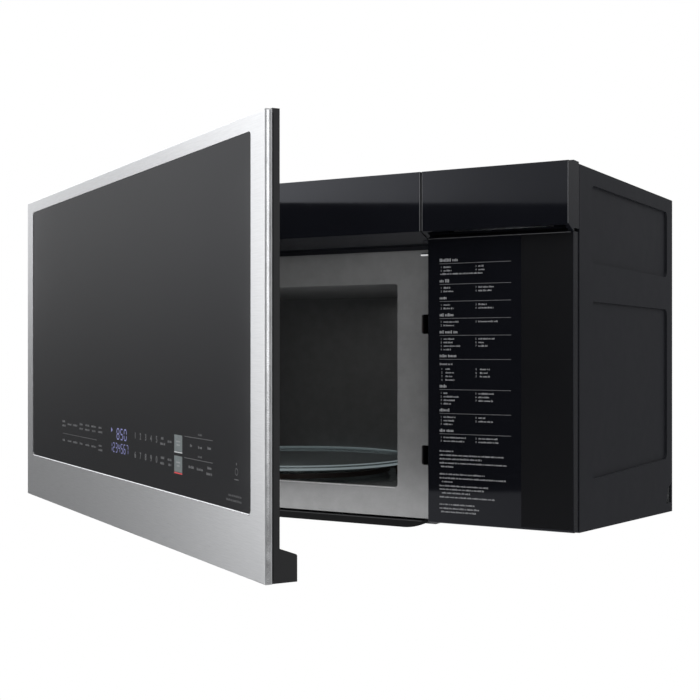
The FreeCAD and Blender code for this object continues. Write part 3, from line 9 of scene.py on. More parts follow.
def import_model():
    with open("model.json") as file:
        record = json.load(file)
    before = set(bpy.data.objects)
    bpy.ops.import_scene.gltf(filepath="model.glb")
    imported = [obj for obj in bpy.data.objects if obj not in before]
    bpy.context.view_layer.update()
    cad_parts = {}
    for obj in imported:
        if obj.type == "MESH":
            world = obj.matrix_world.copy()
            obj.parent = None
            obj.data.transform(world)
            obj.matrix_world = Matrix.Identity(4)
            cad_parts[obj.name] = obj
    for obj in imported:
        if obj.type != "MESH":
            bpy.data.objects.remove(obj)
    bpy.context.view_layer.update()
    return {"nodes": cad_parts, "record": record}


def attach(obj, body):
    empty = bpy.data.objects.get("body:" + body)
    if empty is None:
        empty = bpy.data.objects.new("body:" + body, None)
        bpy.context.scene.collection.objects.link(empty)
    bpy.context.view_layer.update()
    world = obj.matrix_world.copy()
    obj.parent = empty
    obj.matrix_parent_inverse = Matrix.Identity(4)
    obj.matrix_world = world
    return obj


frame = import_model()

# Places are given as x, depth behind the chassis front and height above the door's
# lower edge, in millimetres, and turned into metres in the model's frame here.
MM = 0.001
CHASSIS_DEPTH = 372.0
DOOR_BOTTOM = -189.05
HALF_WIDTH = 379.5
HINGE_X, HINGE_DEPTH = -361.5, -7.7
DOOR_OPEN = math.radians(30.7)
CAVITY_X, TRAY_DEPTH = -93.85, 170.0

# Depths of the surfaces that carry prints and trims, on the door while it is closed.
GLASS_FRONT = -49.4
SKIN_FRONT = -50.0
DOOR_REAR = -35.7
GUIDE_FRONT = -15.3
COVER_FRONT = -33.7
VISOR_FRONT = -2.2

RIGHT, UP = (1, 0, 0), (0, 0, 1)
FRONTWARD, REARWARD = (0, -1, 0), (0, 1, 0)


def place(x, depth, height):
    return Vector((x * MM, (depth - CHASSIS_DEPTH) * MM, (height + DOOR_BOTTOM) * MM))


def swing():
    """Turns a point of the closed door to where it stands open."""
    pin = place(HINGE_X, HINGE_DEPTH, 0)
    return Matrix.Translation(pin) @ Matrix.Rotation(-DOOR_OPEN, 4, "Z") @ Matrix.Translation(-pin)


def facing(origin, right, up, out):
    """A frame for flat work: right and up run in the surface, out stands on it."""
    turn = Matrix((right, up, out)).transposed().to_4x4()
    return Matrix.Translation(origin) @ turn @ Matrix.Scale(MM, 4)


def to_front(depth, x=0.0):
    """A frame that faces the front, its zero at x and at the door's lower edge."""
    return facing(place(x, depth, 0), RIGHT, UP, FRONTWARD)


DOOR_FACE = swing() @ to_front(GLASS_FRONT, -HALF_WIDTH)
SKIN_FACE = swing() @ to_front(SKIN_FRONT, -HALF_WIDTH)
SKIN_END = swing() @ facing(place(HALF_WIDTH, SKIN_FRONT, 0), REARWARD, UP, RIGHT)
DOOR_BACK = swing() @ facing(place(-HALF_WIDTH, DOOR_REAR, 0), RIGHT, UP, REARWARD)
GUIDE_FACE = to_front(GUIDE_FRONT)
PLATE_FACE = to_front(0)
COVER_FACE = to_front(COVER_FRONT)
VISOR_FACE = to_front(VISOR_FRONT)
TRAY_FACE = facing(place(CAVITY_X, TRAY_DEPTH, 0), RIGHT, REARWARD, UP)


# ------------------------------------------------------------------ looks

COOL = (0.905, 0.925, 1.0, 1)     # the slightly blue gloss of the black parts


class Look:
    """A Principled material built up from procedural detail."""

    def __init__(self, name, colour, rough, metal=0.0, turn=0.0):
        self.material = bpy.data.materials.new(name)
        self.material.use_nodes = True
        self.tree = self.material.node_tree
        self.shader = self.tree.nodes["Principled BSDF"]
        self.colour = colour
        self.set(Base_Color=(*colour, 1), Roughness=rough, Metallic=metal)
        self.material.diffuse_color = (*colour, 1)
        self.coords = self.node("ShaderNodeTexCoord").outputs["Object"]
        if turn:
            rotate = self.node("ShaderNodeVectorRotate", rotation_type="Z_AXIS")
            rotate.inputs["Angle"].default_value = turn
            self.link(self.coords, rotate.inputs["Vector"])
            self.coords = rotate.outputs["Vector"]

    def node(self, kind, **settings):
        made = self.tree.nodes.new(kind)
        for key, value in settings.items():
            setattr(made, key, value)
        return made

    def link(self, a, b):
        self.tree.links.new(a, b)

    def set(self, **values):
        for key, value in values.items():
            self.shader.inputs[key.replace("_", " ")].default_value = value

    def stretched(self, stretch):
        mapping = self.node("ShaderNodeMapping")
        mapping.inputs["Scale"].default_value = stretch
        self.link(self.coords, mapping.inputs["Vector"])
        return mapping.outputs["Vector"]

    def noise(self, scale, detail, stretch=(1, 1, 1), rough=0.55):
        made = self.node("ShaderNodeTexNoise")
        made.inputs["Scale"].default_value = scale
        made.inputs["Detail"].default_value = detail
        made.inputs["Roughness"].default_value = rough
        self.link(self.stretched(stretch), made.inputs["Vector"])
        return made.outputs["Fac"]

    def cells(self, scale, stretch=(1, 1, 1)):
        made = self.node("ShaderNodeTexVoronoi")
        made.inputs["Scale"].default_value = scale
        self.link(self.stretched(stretch), made.inputs["Vector"])
        return made.outputs["Distance"]

    def ramp(self, source, *stops):
        """Runs from the first stop's colour to the second's along source."""
        made = self.node("ShaderNodeValToRGB")
        for element, (at, colour) in zip(made.color_ramp.elements, stops):
            element.position = at
            element.color = (*colour, 1)
        self.link(source, made.inputs["Fac"])
        return made.outputs["Color"]

    def tint(self, source, low, high, at=(0.35, 0.65)):
        """Colour that runs from low to high times the base along source."""
        dark = tuple(c * low for c in self.colour)
        light = tuple(c * high for c in self.colour)
        colour = self.ramp(source, (at[0], dark), (at[1], light))
        self.link(colour, self.shader.inputs["Base Color"])

    def speckle(self, scale, spot, share):
        """Small enamel spots scattered over the tinted colour."""
        base = self.shader.inputs["Base Color"]
        mix = self.node("ShaderNodeMix", data_type="RGBA")
        mask = self.ramp(self.cells(scale), (share, (1, 1, 1)), (share + 0.08, (0, 0, 0)))
        self.link(mask, mix.inputs["Factor"])
        self.link(base.links[0].from_socket, mix.inputs[6])
        mix.inputs[7].default_value = (*spot, 1)
        self.link(mix.outputs[2], base)

    def polish(self, source, low, high):
        made = self.node("ShaderNodeMapRange")
        made.inputs["To Min"].default_value = low
        made.inputs["To Max"].default_value = high
        self.link(source, made.inputs["Value"])
        self.link(made.outputs["Result"], self.shader.inputs["Roughness"])

    def bump(self, source, strength, distance=0.0004):
        made = self.node("ShaderNodeBump")
        made.inputs["Strength"].default_value = strength
        made.inputs["Distance"].default_value = distance
        self.link(source, made.inputs["Height"])
        self.link(made.outputs["Normal"], self.shader.inputs["Normal"])


def steel():
    look = Look("brushed_steel", (0.74, 0.745, 0.755), 0.32, metal=1.0, turn=DOOR_OPEN)
    grain = look.noise(1.0, 4, stretch=(45, 45, 1300), rough=0.7)
    look.tint(grain, 0.94, 1.045)
    look.polish(grain, 0.26, 0.31)
    look.bump(grain, 0.06, distance=0.0001)
    look.set(Anisotropic=0.7, Anisotropic_Rotation=0.25)
    tangent = look.node("ShaderNodeTangent", direction_type="RADIAL", axis="Z")
    look.link(tangent.outputs["Tangent"], look.shader.inputs["Tangent"])
    return look.material


def zinc(name="zinc", colour=(0.5, 0.5, 0.5), rough=0.38):
    look = Look(name, colour, rough, metal=0.9)
    bloom = look.noise(60, 5)
    look.tint(bloom, 0.8, 1.12)
    look.polish(bloom, rough - 0.08, rough + 0.12)
    look.bump(look.noise(900, 2), 0.1)
    return look.material


def galvanised():
    look = Look("galvanised_sheet", (0.42, 0.43, 0.44), 0.42, metal=0.85)
    spangle = look.cells(70)
    look.tint(spangle, 0.85, 1.1, at=(0.1, 0.7))
    look.polish(spangle, 0.36, 0.5)
    look.bump(look.noise(700, 3), 0.08)
    return look.material


def plastic(name, colour, rough, grain=900, depth=0.15, spread=0.06, gloss=0.5):
    look = Look(name, colour, rough)
    look.tint(look.noise(14, 4), 1 - spread, 1 + spread)
    look.polish(look.noise(40, 3), rough - 0.05, rough + 0.06)
    look.bump(look.noise(grain, 2), depth, distance=0.00015)
    look.set(Specular_IOR_Level=gloss)
    return look.material


def cover_black():
    look = Look("cover_black", (0.0072, 0.0078, 0.0108), 0.06)
    look.tint(look.noise(9, 3), 0.9, 1.12)
    look.polish(look.noise(30, 4), 0.045, 0.085)
    look.bump(look.noise(120, 2), 0.01, distance=0.0002)
    look.set(Specular_Tint=COOL)
    return look.material


def case_paint():
    look = Look("case_paint", (0.0120, 0.0126, 0.0158), 0.5)
    look.tint(look.noise(5, 4), 0.93, 1.08)
    look.polish(look.noise(35, 3), 0.46, 0.58)
    look.bump(look.noise(1500, 2), 0.12, distance=0.00012)
    look.set(Specular_IOR_Level=0.34, Specular_Tint=COOL)
    return look.material


def enamel(name, level, spot, metal):
    """Grey orange-peel enamel with fine metal flakes in it."""
    rough = 0.24
    look = Look(name, (level, level, level), rough, metal=metal)
    look.tint(look.noise(60, 4), 0.95, 1.05)
    look.speckle(900, (spot, spot, spot), 0.14)
    look.polish(look.noise(80, 3), rough - 0.04, rough + 0.05)
    look.bump(look.noise(420, 3, rough=0.6), 0.3, distance=0.0003)
    return look.material


def door_glass():
    look = Look("door_glass", (0.0075, 0.0077, 0.0088), 0.05)
    look.tint(look.noise(4, 3), 0.92, 1.08)
    look.polish(look.noise(18, 4), 0.04, 0.075)
    look.bump(look.noise(2.5, 1), 0.004)
    look.set(Specular_Tint=COOL)
    return look.material


def clear_glass(name, colour, rough, clear=1.0):
    look = Look(name, colour, rough)
    look.set(Transmission_Weight=clear, IOR=1.48)
    look.tint(look.noise(12, 2), 0.97, 1.0)
    look.polish(look.noise(30, 3), rough - 0.02, rough + 0.03)
    look.bump(look.noise(14, 2), 0.03, distance=0.0003)
    return look.material


def window_mesh():
    look = Look("window_screen", (0.012, 0.012, 0.013), 0.4, turn=DOOR_OPEN)
    dots = look.cells(480, stretch=(1, 0.001, 1))
    look.tint(dots, 4.5, 1.0, at=(0.2, 0.32))
    look.polish(dots, 0.3, 0.5)
    look.bump(dots, 0.4, distance=0.0003)
    return look.material


def board_green():
    look = Look("circuit_board", (0.02, 0.075, 0.035), 0.35)
    tracks = look.node("ShaderNodeTexBrick")
    tracks.inputs["Scale"].default_value = 160
    tracks.inputs["Color1"].default_value = (0.02, 0.08, 0.04, 1)
    tracks.inputs["Color2"].default_value = (0.03, 0.11, 0.05, 1)
    tracks.inputs["Mortar"].default_value = (0.12, 0.14, 0.06, 1)
    look.link(look.coords, tracks.inputs["Vector"])
    look.link(tracks.outputs["Color"], look.shader.inputs["Base Color"])
    look.polish(look.noise(50, 3), 0.3, 0.45)
    look.bump(tracks.outputs["Fac"], 0.2, distance=0.0001)
    return look.material


def mesh_aluminium():
    look = Look("filter_mesh", (0.52, 0.53, 0.54), 0.35, metal=1.0)
    wires = look.cells(330)
    look.tint(wires, 0.25, 1.05, at=(0.08, 0.45))
    look.polish(wires, 0.3, 0.5)
    look.bump(wires, 0.8, distance=0.0006)
    return look.material


def laminations():
    look = Look("core_iron", (0.10, 0.095, 0.09), 0.5, metal=0.6)
    sheets = look.node("ShaderNodeTexWave", wave_type="BANDS", bands_direction="X")
    sheets.inputs["Scale"].default_value = 260
    look.link(look.coords, sheets.inputs["Vector"])
    look.tint(sheets.outputs["Fac"], 0.6, 1.3)
    look.polish(look.noise(60, 3), 0.42, 0.6)
    look.bump(sheets.outputs["Fac"], 0.3, distance=0.0002)
    return look.material


def glow(name, colour, strength):
    look = Look(name, tuple(c * 0.2 for c in colour), 0.3)
    look.set(Emission_Color=(*colour, 1), Emission_Strength=strength)
    look.bump(look.noise(300, 2), 0.05)
    return look.material


def ink(name, colour, rough=0.35):
    look = Look(name, colour, rough)
    look.tint(look.noise(260, 3), 0.85, 1.1)
    look.bump(look.noise(700, 2), 0.05, distance=0.0001)
    return look.material


# The record's material slots. Plastics give colour, roughness, grain, its depth and the mottling.
LOOKS = {
    "brushed_steel": steel(),
    "zinc": zinc(),
    "galvanised": galvanised(),
    "can_aluminium": zinc("can_aluminium", (0.62, 0.62, 0.63), 0.3),
    "spring_steel": zinc("spring_steel", (0.45, 0.45, 0.46), 0.28),
    "black_gloss": cover_black(),
    "case_paint": case_paint(),
    "belly_metal": plastic("belly_paint", (0.0040, 0.0042, 0.0050), 0.45, 1400, 0.1, gloss=0.25),
    "enamel_front": enamel("front_enamel", 0.58, 0.68, metal=0.6),
    "enamel_cavity": enamel("cavity_enamel", 0.255, 0.36, metal=0.2),
    "door_glass_black": door_glass(),
    "door_plastic": plastic("door_plastic", (0.0085, 0.0085, 0.0095), 0.4),
    "black_matte": plastic("black_plastic", (0.014, 0.014, 0.015), 0.48),
    "grey_plastic": plastic("grey_plastic", (0.15, 0.15, 0.155), 0.45),
    "ring_plastic": plastic("ring_plastic", (0.060, 0.040, 0.031), 0.42),
    "white_plastic": plastic("white_plastic", (0.68, 0.68, 0.66), 0.42),
    "red_plastic": plastic("red_plastic", (0.5, 0.05, 0.04), 0.4),
    "charcoal": plastic("charcoal_pad", (0.018, 0.018, 0.018), 0.8, 260, 0.9, 0.3),
    "mica": plastic("mica_sheet", (0.34, 0.31, 0.26), 0.35, 200, 0.25, 0.18),
    "core_iron": laminations(),
    "circuit_board": board_green(),
    "filter_aluminium": mesh_aluminium(),
    "screen_black": window_mesh(),
    "tray_glass": clear_glass("tray_glass", (0.62, 0.70, 0.71), 0.05, clear=0.72),
    "clear_glass": clear_glass("inner_glass", (0.8, 0.83, 0.83), 0.03),
    "frosted_lens": clear_glass("frosted_lens", (0.85, 0.88, 0.9), 0.45),
}

# Looks of the prints and trims that this script adds, and of the painted highlights and painted
# shade on edges, gaps and the tray's rim.
INK_GREY = ink("legend_grey", (0.135, 0.137, 0.142))
# faint print on the glass; the same grey also serves as the painted highlight on the visor's fold
INK_FAINT_AND_FOLD_HIGHLIGHT = ink("legend_faint_and_fold_highlight", (0.075, 0.076, 0.08))
INK_LIGHT = ink("legend_light", (0.30, 0.31, 0.315))
INK_KEY = ink("key_patch", (0.125, 0.15, 0.152))
INK_WHITE = ink("key_line_white", (0.60, 0.61, 0.62))
INK_RED = ink("key_line_red", (0.75, 0.022, 0.028))
INK_GUIDE = ink("guide_legend", (0.50, 0.505, 0.52))
# the guide's printed rules; the same grey also serves as the painted highlights on the vent
# covers' arrises
INK_RULE_AND_ARRIS_HIGHLIGHT = ink("guide_rule_and_arris_highlight", (0.19, 0.192, 0.2))
DIGITS = glow("display_digits", (0.30, 0.31, 0.70), 0.45)
FILM = plastic("guide_film", (0.002, 0.0022, 0.0035), 0.55, 1200, 0.1, gloss=0.2)
TRIM_BRIGHT = zinc("polished_edge", (0.85, 0.855, 0.865), 0.17)
# painted shade: a duller, darker metal for the dark line at the rounded corner of the door's end
DOOR_END_SHADE_LINE = zinc("corner_painted_shade_line", (0.42, 0.43, 0.44), 0.4)
BEVEL = zinc("glass_bevel", (0.50, 0.505, 0.515), 0.24)
# painted shadow: near-black plastic for the shade inside the gap behind the door's skin
GAP_SHADE_BLACK = plastic("gap_painted_shade", (0.001, 0.001, 0.0012), 0.7, 1200, 0.1, gloss=0.03)
# painted highlight: a pale line for the light on the fold at the cavity opening's lower edge
LIP_PAINTED_HIGHLIGHT = ink("opening_edge_painted_highlight", (0.72, 0.72, 0.71), 0.3)
# painted highlight: a glow for the bright lines that the tray's glass rim shows
TRAY_RIM_GLOW_HIGHLIGHT = glow("tray_rim_painted_highlight", (0.42, 0.50, 0.52), 0.36)

for entry in frame["record"]["subparts"]:
    node = frame["nodes"][entry["node"]]
    look = LOOKS[entry["material_slot"]]
    if node.data.materials:
        for index in range(len(node.data.materials)):
            node.material_slots[index].link = "OBJECT"
            node.material_slots[index].material = look
    else:
        node.data.materials.append(look)


# ------------------------------------------------------------------ mesh helpers

PRINT_LOW, PRINT_HIGH = 0.02, 0.08     # a print's underside and face above what it is printed on
LIT_HIGH = 0.06                        # the face of the display's figures


def from_bmesh(name, work, matrix, look, body, smooth=False):
    """A new piece from flat work, turned into the model's frame by matrix."""
    mesh = bpy.data.meshes.new(name)
    work.normal_update()
    work.to_mesh(mesh)
    work.free()
    mesh.transform(matrix)
    if matrix.to_3x3().determinant() < 0:
        mesh.flip_normals()
    piece = bpy.data.objects.new(name, mesh)
    bpy.context.collection.objects.link(piece)
    piece.data.materials.append(look)
    for polygon in mesh.polygons:
        polygon.use_smooth = smooth
    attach(piece, body)


def plate_piece(name, plates, matrix, look, body):
    """A piece made of rectangles only, each given as add_plate takes it."""
    work = bmesh.new()
    for plate in plates:
        add_plate(work, *plate)
    from_bmesh(name, work, matrix, look, body)


def around(u, v, radius, angle):
    return u + radius * math.cos(angle), v + radius * math.sin(angle)


def edges(u, v, width, height):
    """The left, right, lower and upper edge of a rectangle with its middle at u, v."""
    return u - width / 2, u + width / 2, v - height / 2, v + height / 2


def add_prism(work, outline, low, high):
    """A flat outline in the u, v plane raised from low to high."""
    bottom = [work.verts.new((u, v, low)) for u, v in outline]
    top = [work.verts.new((u, v, high)) for u, v in outline]
    count = len(outline)
    work.faces.new(top)
    work.faces.new(list(reversed(bottom)))
    for index in range(count):
        following = (index + 1) % count
        work.faces.new((bottom[index], bottom[following], top[following], top[index]))


def add_plate(work, u, v, width, height, low=PRINT_LOW, high=PRINT_HIGH):
    left, right, foot, head = edges(u, v, width, height)
    add_prism(work, [(left, foot), (right, foot), (right, head), (left, head)], low, high)


def add_bar(work, u, v, width, height, high=PRINT_HIGH):
    """A rectangle with its corners cut off."""
    cut = min(width, height) * 0.3
    left, right, foot, head = edges(u, v, width, height)
    outline = [(left + cut, foot), (right - cut, foot), (right, foot + cut), (right, head - cut),
               (right - cut, head), (left + cut, head), (left, head - cut), (left, foot + cut)]
    add_prism(work, outline, PRINT_LOW, high)


def add_disc(work, u, v, radius):
    sides = 20
    outline = [around(u, v, radius, 2 * math.pi * index / sides) for index in range(sides)]
    add_prism(work, outline, PRINT_LOW, PRINT_HIGH)


def add_ring(work, u, v, outer, inner, low, high, sides):
    profile = ((inner, low), (outer, low), (outer, high), (inner, high))
    rows = []
    for index in range(sides):
        angle = 2 * math.pi * index / sides
        rows.append([work.verts.new((*around(u, v, radius, angle), level))
                     for radius, level in profile])
    for index in range(sides):
        a, b = rows[index], rows[(index + 1) % sides]
        for side in range(4):
            after = (side + 1) % 4
            work.faces.new((a[side], b[side], b[after], a[after]))


def add_ridge(work, start, end, width, height):
    """A low roof-shaped bead from start to end along u or along v."""
    along_u = abs(end[0] - start[0]) > abs(end[1] - start[1])
    side_u, side_v = (0, width / 2) if along_u else (-width / 2, 0)
    first, last = [[work.verts.new((u - side_u, v - side_v, 0)),
                    work.verts.new((u, v, height)),
                    work.verts.new((u + side_u, v + side_v, 0))] for u, v in (start, end)]
    for one, other in ((0, 1), (1, 2), (2, 0)):
        work.faces.new((first[one], last[one], last[other], first[other]))
    work.faces.new(first)
    work.faces.new(list(reversed(last)))
    bmesh.ops.recalc_face_normals(work, faces=work.faces)


def add_numeral(work, figure, u, v, size):
    """A plain numeral, centred on u, v."""
    curve = bpy.data.curves.new("numeral", "FONT")
    curve.body = figure
    curve.size = size
    curve.align_x = "CENTER"
    curve.align_y = "CENTER"
    curve.extrude = (PRINT_HIGH - PRINT_LOW) / 2
    holder = bpy.data.objects.new("numeral", curve)
    bpy.context.collection.objects.link(holder)
    bpy.context.view_layer.update()
    mesh = bpy.data.meshes.new_from_object(holder)
    mesh.transform(Matrix.Translation((u, v, (PRINT_LOW + PRINT_HIGH) / 2)))
    work.from_mesh(mesh)
    bpy.data.objects.remove(holder)
    bpy.data.curves.remove(curve)
    bpy.data.meshes.remove(mesh)


def add_words(work, left, v, width, height, seed):
    """A line of short upright strokes in word groups that reads as print from a step away."""
    pick = random.Random(seed)
    pitch = 0.62 * height
    u = left + pitch / 2
    end = left + width
    until_gap = pick.randint(2, 8)
    while u < end:
        tall = height * pick.choice((0.8, 0.8, 1.0, 1.25))
        add_plate(work, u, v + (tall - height) * 0.3, pitch * 0.62, tall)
        until_gap -= 1
        u += pitch
        if until_gap == 0:
            until_gap = pick.randint(2, 8)
            u += pitch * 0.8


# Which of the seven segments a figure lights, named a to g in the usual order.
SEGMENTS = {
    "0": "abcdef", "1": "bc", "2": "abged", "3": "abgcd", "4": "fgbc",
    "5": "afgcd", "6": "afgedc", "7": "abc", "8": "abcdefg",
}


def add_segments(work, figures, left, foot, width, height, pitch, thick):
    """Seven-segment figures in a row from left, each with its lowest bar at foot."""
    across = (width - thick, thick)
    upright = (thick, height / 2 - thick)
    for index, figure in enumerate(figures):
        u = left + index * pitch
        bars = {
            "a": (u + width / 2, foot + height, *across),
            "g": (u + width / 2, foot + height / 2, *across),
            "d": (u + width / 2, foot, *across),
            "f": (u, foot + height * 0.75, *upright),
            "b": (u + width, foot + height * 0.75, *upright),
            "e": (u, foot + height * 0.25, *upright),
            "c": (u + width, foot + height * 0.25, *upright),
        }
        for letter in SEGMENTS[figure]:
            add_bar(work, *bars[letter], LIT_HIGH)


# ------------------------------------------------------------------ control band on the glass

# u along the glass, lines of print in the upper row and in the lower row
KEY_COLUMNS = ((172.5, 2, 1), (196.2, 1, 1), (220.4, 1, 1), (245.0, 2, 1),
               (269.2, 2, 1), (293.6, 2, 1), (318.0, 2, 2))
UPPER_ROW, LOWER_ROW = 104.8, 84.2
KEY_LINE_PITCH = 5.2
# u, v and width of the single legends right of the display
KEY_LEGENDS = ((518.0, 107.6, 7), (519.0, 102.1, 13), (538.5, 105.5, 11), (518.4, 88.0, 9),
               (518.4, 82.4, 12), (538.9, 87.6, 12), (538.9, 82.6, 8), (595.0, 105.4, 6),
               (616.8, 104.9, 9), (639.0, 105.7, 8), (595.0, 84.9, 13), (616.8, 84.4, 15),
               (639.3, 87.5, 9), (639.3, 82.1, 14))
# left end, v, width, height and seed of the faint small print
FAINT_WORDS = ((611.8, 116.8, 10, 1.8, 3), (611.8, 96.2, 10, 1.8, 4),
               (683.0, 67.8, 28, 1.7, 5), (678.0, 63.6, 33, 1.7, 6))
# u, v, width and height of the thin lines beside the legends
FAINT_LINES = ((236.7, 92.5, 138, 0.5), (612.7, 113.4, 70, 0.55), (612.7, 92.9, 70, 0.55))
NUMERAL_LEFT, NUMERAL_TOP, NUMERAL_SIZE = 437.3, 105.2, 9.5
END_SIGN_U = 700.4                     # the small sign near the glass's right end
MAIN_KEYS_U, MAIN_KEYS_WIDTH = 561.6, 21
PATCH_HIGH = 0.05                      # the face of the start and stop patches
SIGN_LOW, SIGN_HIGH = 0.06, 0.1        # the signs that stand on them


def on_glass(name, work, look):
    from_bmesh(name, work, DOOR_FACE, look, "door")


def plates_on_glass(name, plates, look):
    plate_piece(name, plates, DOOR_FACE, look, "door")


def control_band():
    labels = bmesh.new()
    for column, (u, upper, lower) in enumerate(KEY_COLUMNS):
        for middle, lines in ((UPPER_ROW, upper), (LOWER_ROW, lower)):
            for line in range(lines):
                v = middle + KEY_LINE_PITCH * ((lines - 1) / 2 - line)
                width = 15 + 3 * ((column + line) % 3 - 1)
                add_words(labels, u - width / 2, v, width, 2.1, column * 7 + line)
    for u, v, width in KEY_LEGENDS:
        add_words(labels, u - width / 2, v, width, 2.2, int(u))
    on_glass("key_labels", labels, INK_GREY)

    figures = bmesh.new()
    for index, figure in enumerate("1234567890"):
        row, column = divmod(index, 5)
        add_numeral(figures, figure, NUMERAL_LEFT + 16.1 * column, NUMERAL_TOP - 20.4 * row,
                    NUMERAL_SIZE)
    on_glass("key_numerals", figures, INK_GREY)

    faint = bmesh.new()
    for line in FAINT_LINES:
        add_bar(faint, *line)
    for words in FAINT_WORDS:
        add_words(faint, *words)
    add_disc(faint, END_SIGN_U, 96.4, 1.1)
    add_ring(faint, END_SIGN_U, 89.5, 3.2, 2.6, PRINT_LOW, PRINT_HIGH, 28)
    add_bar(faint, END_SIGN_U, 82.6, 9, 0.8)
    on_glass("band_marks", faint, INK_FAINT_AND_FOLD_HIGHLIGHT)

    plates_on_glass("key_patches", (
        (MAIN_KEYS_U, 105.6, MAIN_KEYS_WIDTH, 16.0, PRINT_LOW, PATCH_HIGH),
        (MAIN_KEYS_U, 85.2, MAIN_KEYS_WIDTH, 15.8, PRINT_LOW, PATCH_HIGH)), INK_KEY)
    plates_on_glass("key_signs", [
        (MAIN_KEYS_U, v, width, 1.3, SIGN_LOW, SIGN_HIGH)
        for v, width in ((107.2, 10.5), (103.8, 8.0), (86.8, 10.5), (83.4, 7.0))], INK_LIGHT)
    plates_on_glass("start_key_line", (
        (MAIN_KEYS_U, 96.7, MAIN_KEYS_WIDTH, 1.1, PRINT_LOW, SIGN_HIGH),), INK_WHITE)
    plates_on_glass("stop_key_line", (
        (MAIN_KEYS_U, 76.3, MAIN_KEYS_WIDTH, 1.3, PRINT_LOW, SIGN_HIGH),), INK_RED)

    lit = bmesh.new()
    add_prism(lit, [(357.5, 104.6), (362.6, 107.4), (357.5, 110.2)], PRINT_LOW, LIT_HIGH)
    add_segments(lit, "850", 377.0, 98.4, 7.6, 11.2, 12.2, 1.5)
    add_segments(lit, "1234567", 355.0, 83.6, 5.4, 9.6, 9.0, 1.1)
    on_glass("display_figures", lit, DIGITS)


# ------------------------------------------------------------------ guide right of the cavity

# height of the rule, width of its heading, widths of the items in the left and right column
GUIDE = (
    (294.6, 25.0, (9, 10.5), (7, 8.5)),
    (271.1, 13.0, (8.5, 12.5), (19, 16)),
    (251.8, 8.5, (8, 13), (10, 18)),
    (232.5, 18.5, (19, 13), (23,)),
    (213.2, 23.0, (14, 11, 22, 9), (20, 6.5, 11.5)),
    (151.8, 9.0, (5.5, 20, 14, 9.5), (20, 13, 18)),
    (124.7, 12.5, (15, 14, 11.5), (8, 17.5)),
    (101.6, 18.5, (28, 27), (23, 24)),
)
RULE_MIDDLE, RULE_WIDTH, RULE_THICK = 262.9, 87, 0.62
GUIDE_LEFT, HEADING_HEIGHT = 219.2, 2.9
ITEM_NUMBER, ITEM_HEIGHT = 3.0, 1.55
LONE_RULE = 186.1                      # between the two groups of rows, with wider items
LONE_ITEMS = ((222.2, (6, 10, 8, 11)), (264.6, (12, 9, 13)))
# height, left end and right end of the lines of small print below the table
SMALL_PRINT = (
    (82.0, 219.3, 236.1), (77.5, 219.3, 297.4), (73.2, 219.3, 271.7), (68.6, 219.3, 301.0),
    (64.4, 221.0, 236.1), (56.0, 219.3, 274.9), (51.5, 219.3, 300.0), (47.4, 222.0, 236.6),
    (42.7, 219.3, 278.7), (38.8, 219.3, 273.8), (34.6, 222.0, 257.5), (30.0, 219.3, 287.2),
    (21.7, 219.3, 262.4), (17.2, 219.3, 268.9), (13.3, 221.0, 264.1),
)


def add_rule(rules, text, height, rise, heading, seed):
    """A rule across the table with its heading standing rise above it."""
    add_plate(rules, RULE_MIDDLE, height, RULE_WIDTH, RULE_THICK)
    add_words(text, GUIDE_LEFT, height + rise, heading, HEADING_HEIGHT, seed)


def add_items(text, columns, top, pitch, indent, seed):
    """Numbered items in two columns that count on from the left one to the right one."""
    number = 0
    for column, (u, widths) in enumerate(columns):
        for line, width in enumerate(widths):
            number += 1
            v = top - pitch * line
            add_numeral(text, str(number), u, v, ITEM_NUMBER)
            add_words(text, u + indent, v, width, ITEM_HEIGHT, seed + line + column)


def guide_print():
    text = bmesh.new()
    rules = bmesh.new()
    for row, (height, heading, left, right) in enumerate(GUIDE):
        add_rule(rules, text, height, 3.7, heading, row)
        add_items(text, ((221.4, left), (264.4, right)), height - 4.1, 4.0, 2.8, 10 * row)
    add_words(text, 220.2, 282.7, 52, 1.5, 91)
    add_rule(rules, text, LONE_RULE, 3.8, 23.5, 92)
    add_words(text, 219.5, 180.6, 16, 1.9, 93)
    add_items(text, LONE_ITEMS, 175.0, 4.1, 4.4, 94)
    for v, start, end in SMALL_PRINT:
        add_words(text, start, v, end - start, 1.5, int(v * 10))
    add_plate(rules, 290.5, 323.4, 170, 0.8, 0.0, 0.04)
    from_bmesh("guide_text", text, GUIDE_FACE, INK_GUIDE, "chassis")
    from_bmesh("guide_rules", rules, GUIDE_FACE, INK_RULE_AND_ARRIS_HIGHLIGHT, "chassis")
    plate_piece("guide_side_film", ((348.1, 162.6, 59.4, 320.0, 0.0, 0.05),),
                GUIDE_FACE, FILM, "chassis")


# ------------------------------------------------------------------ small fasteners, trim, painted highlights and painted shade

SCREW_PLACES = ((12.0, 384.0), (12.0, 330.0), (250.0, 384.0), (500.0, 384.0),
                (747.0, 384.0), (747.0, 330.0), (747.0, 60.0), (747.0, 200.0))
SCREW_RADIUS, SCREW_RISE = 3.0, 1.2


def add_screw(work, u, v):
    """A pan head: four raised quadrants in a ring, with a cross left between them."""
    inner, core, gap = SCREW_RADIUS * 0.62, SCREW_RADIUS * 0.24, 0.2
    quarter = math.pi / 2
    add_ring(work, u, v, SCREW_RADIUS, inner, 0.0, SCREW_RISE * 0.7, 20)
    for turn in range(4):
        start = turn * quarter
        outline = [around(u, v, inner, start + gap + (quarter - 2 * gap) * step / 4)
                   for step in range(5)]
        outline.append(around(u, v, core, start + quarter / 2))
        add_prism(work, outline, 0.0, SCREW_RISE)


def fasteners():
    back = bmesh.new()
    for u, v in SCREW_PLACES:
        add_screw(back, u, v)
    from_bmesh("door_back_screws", back, DOOR_BACK, LOOKS["black_matte"], "door")


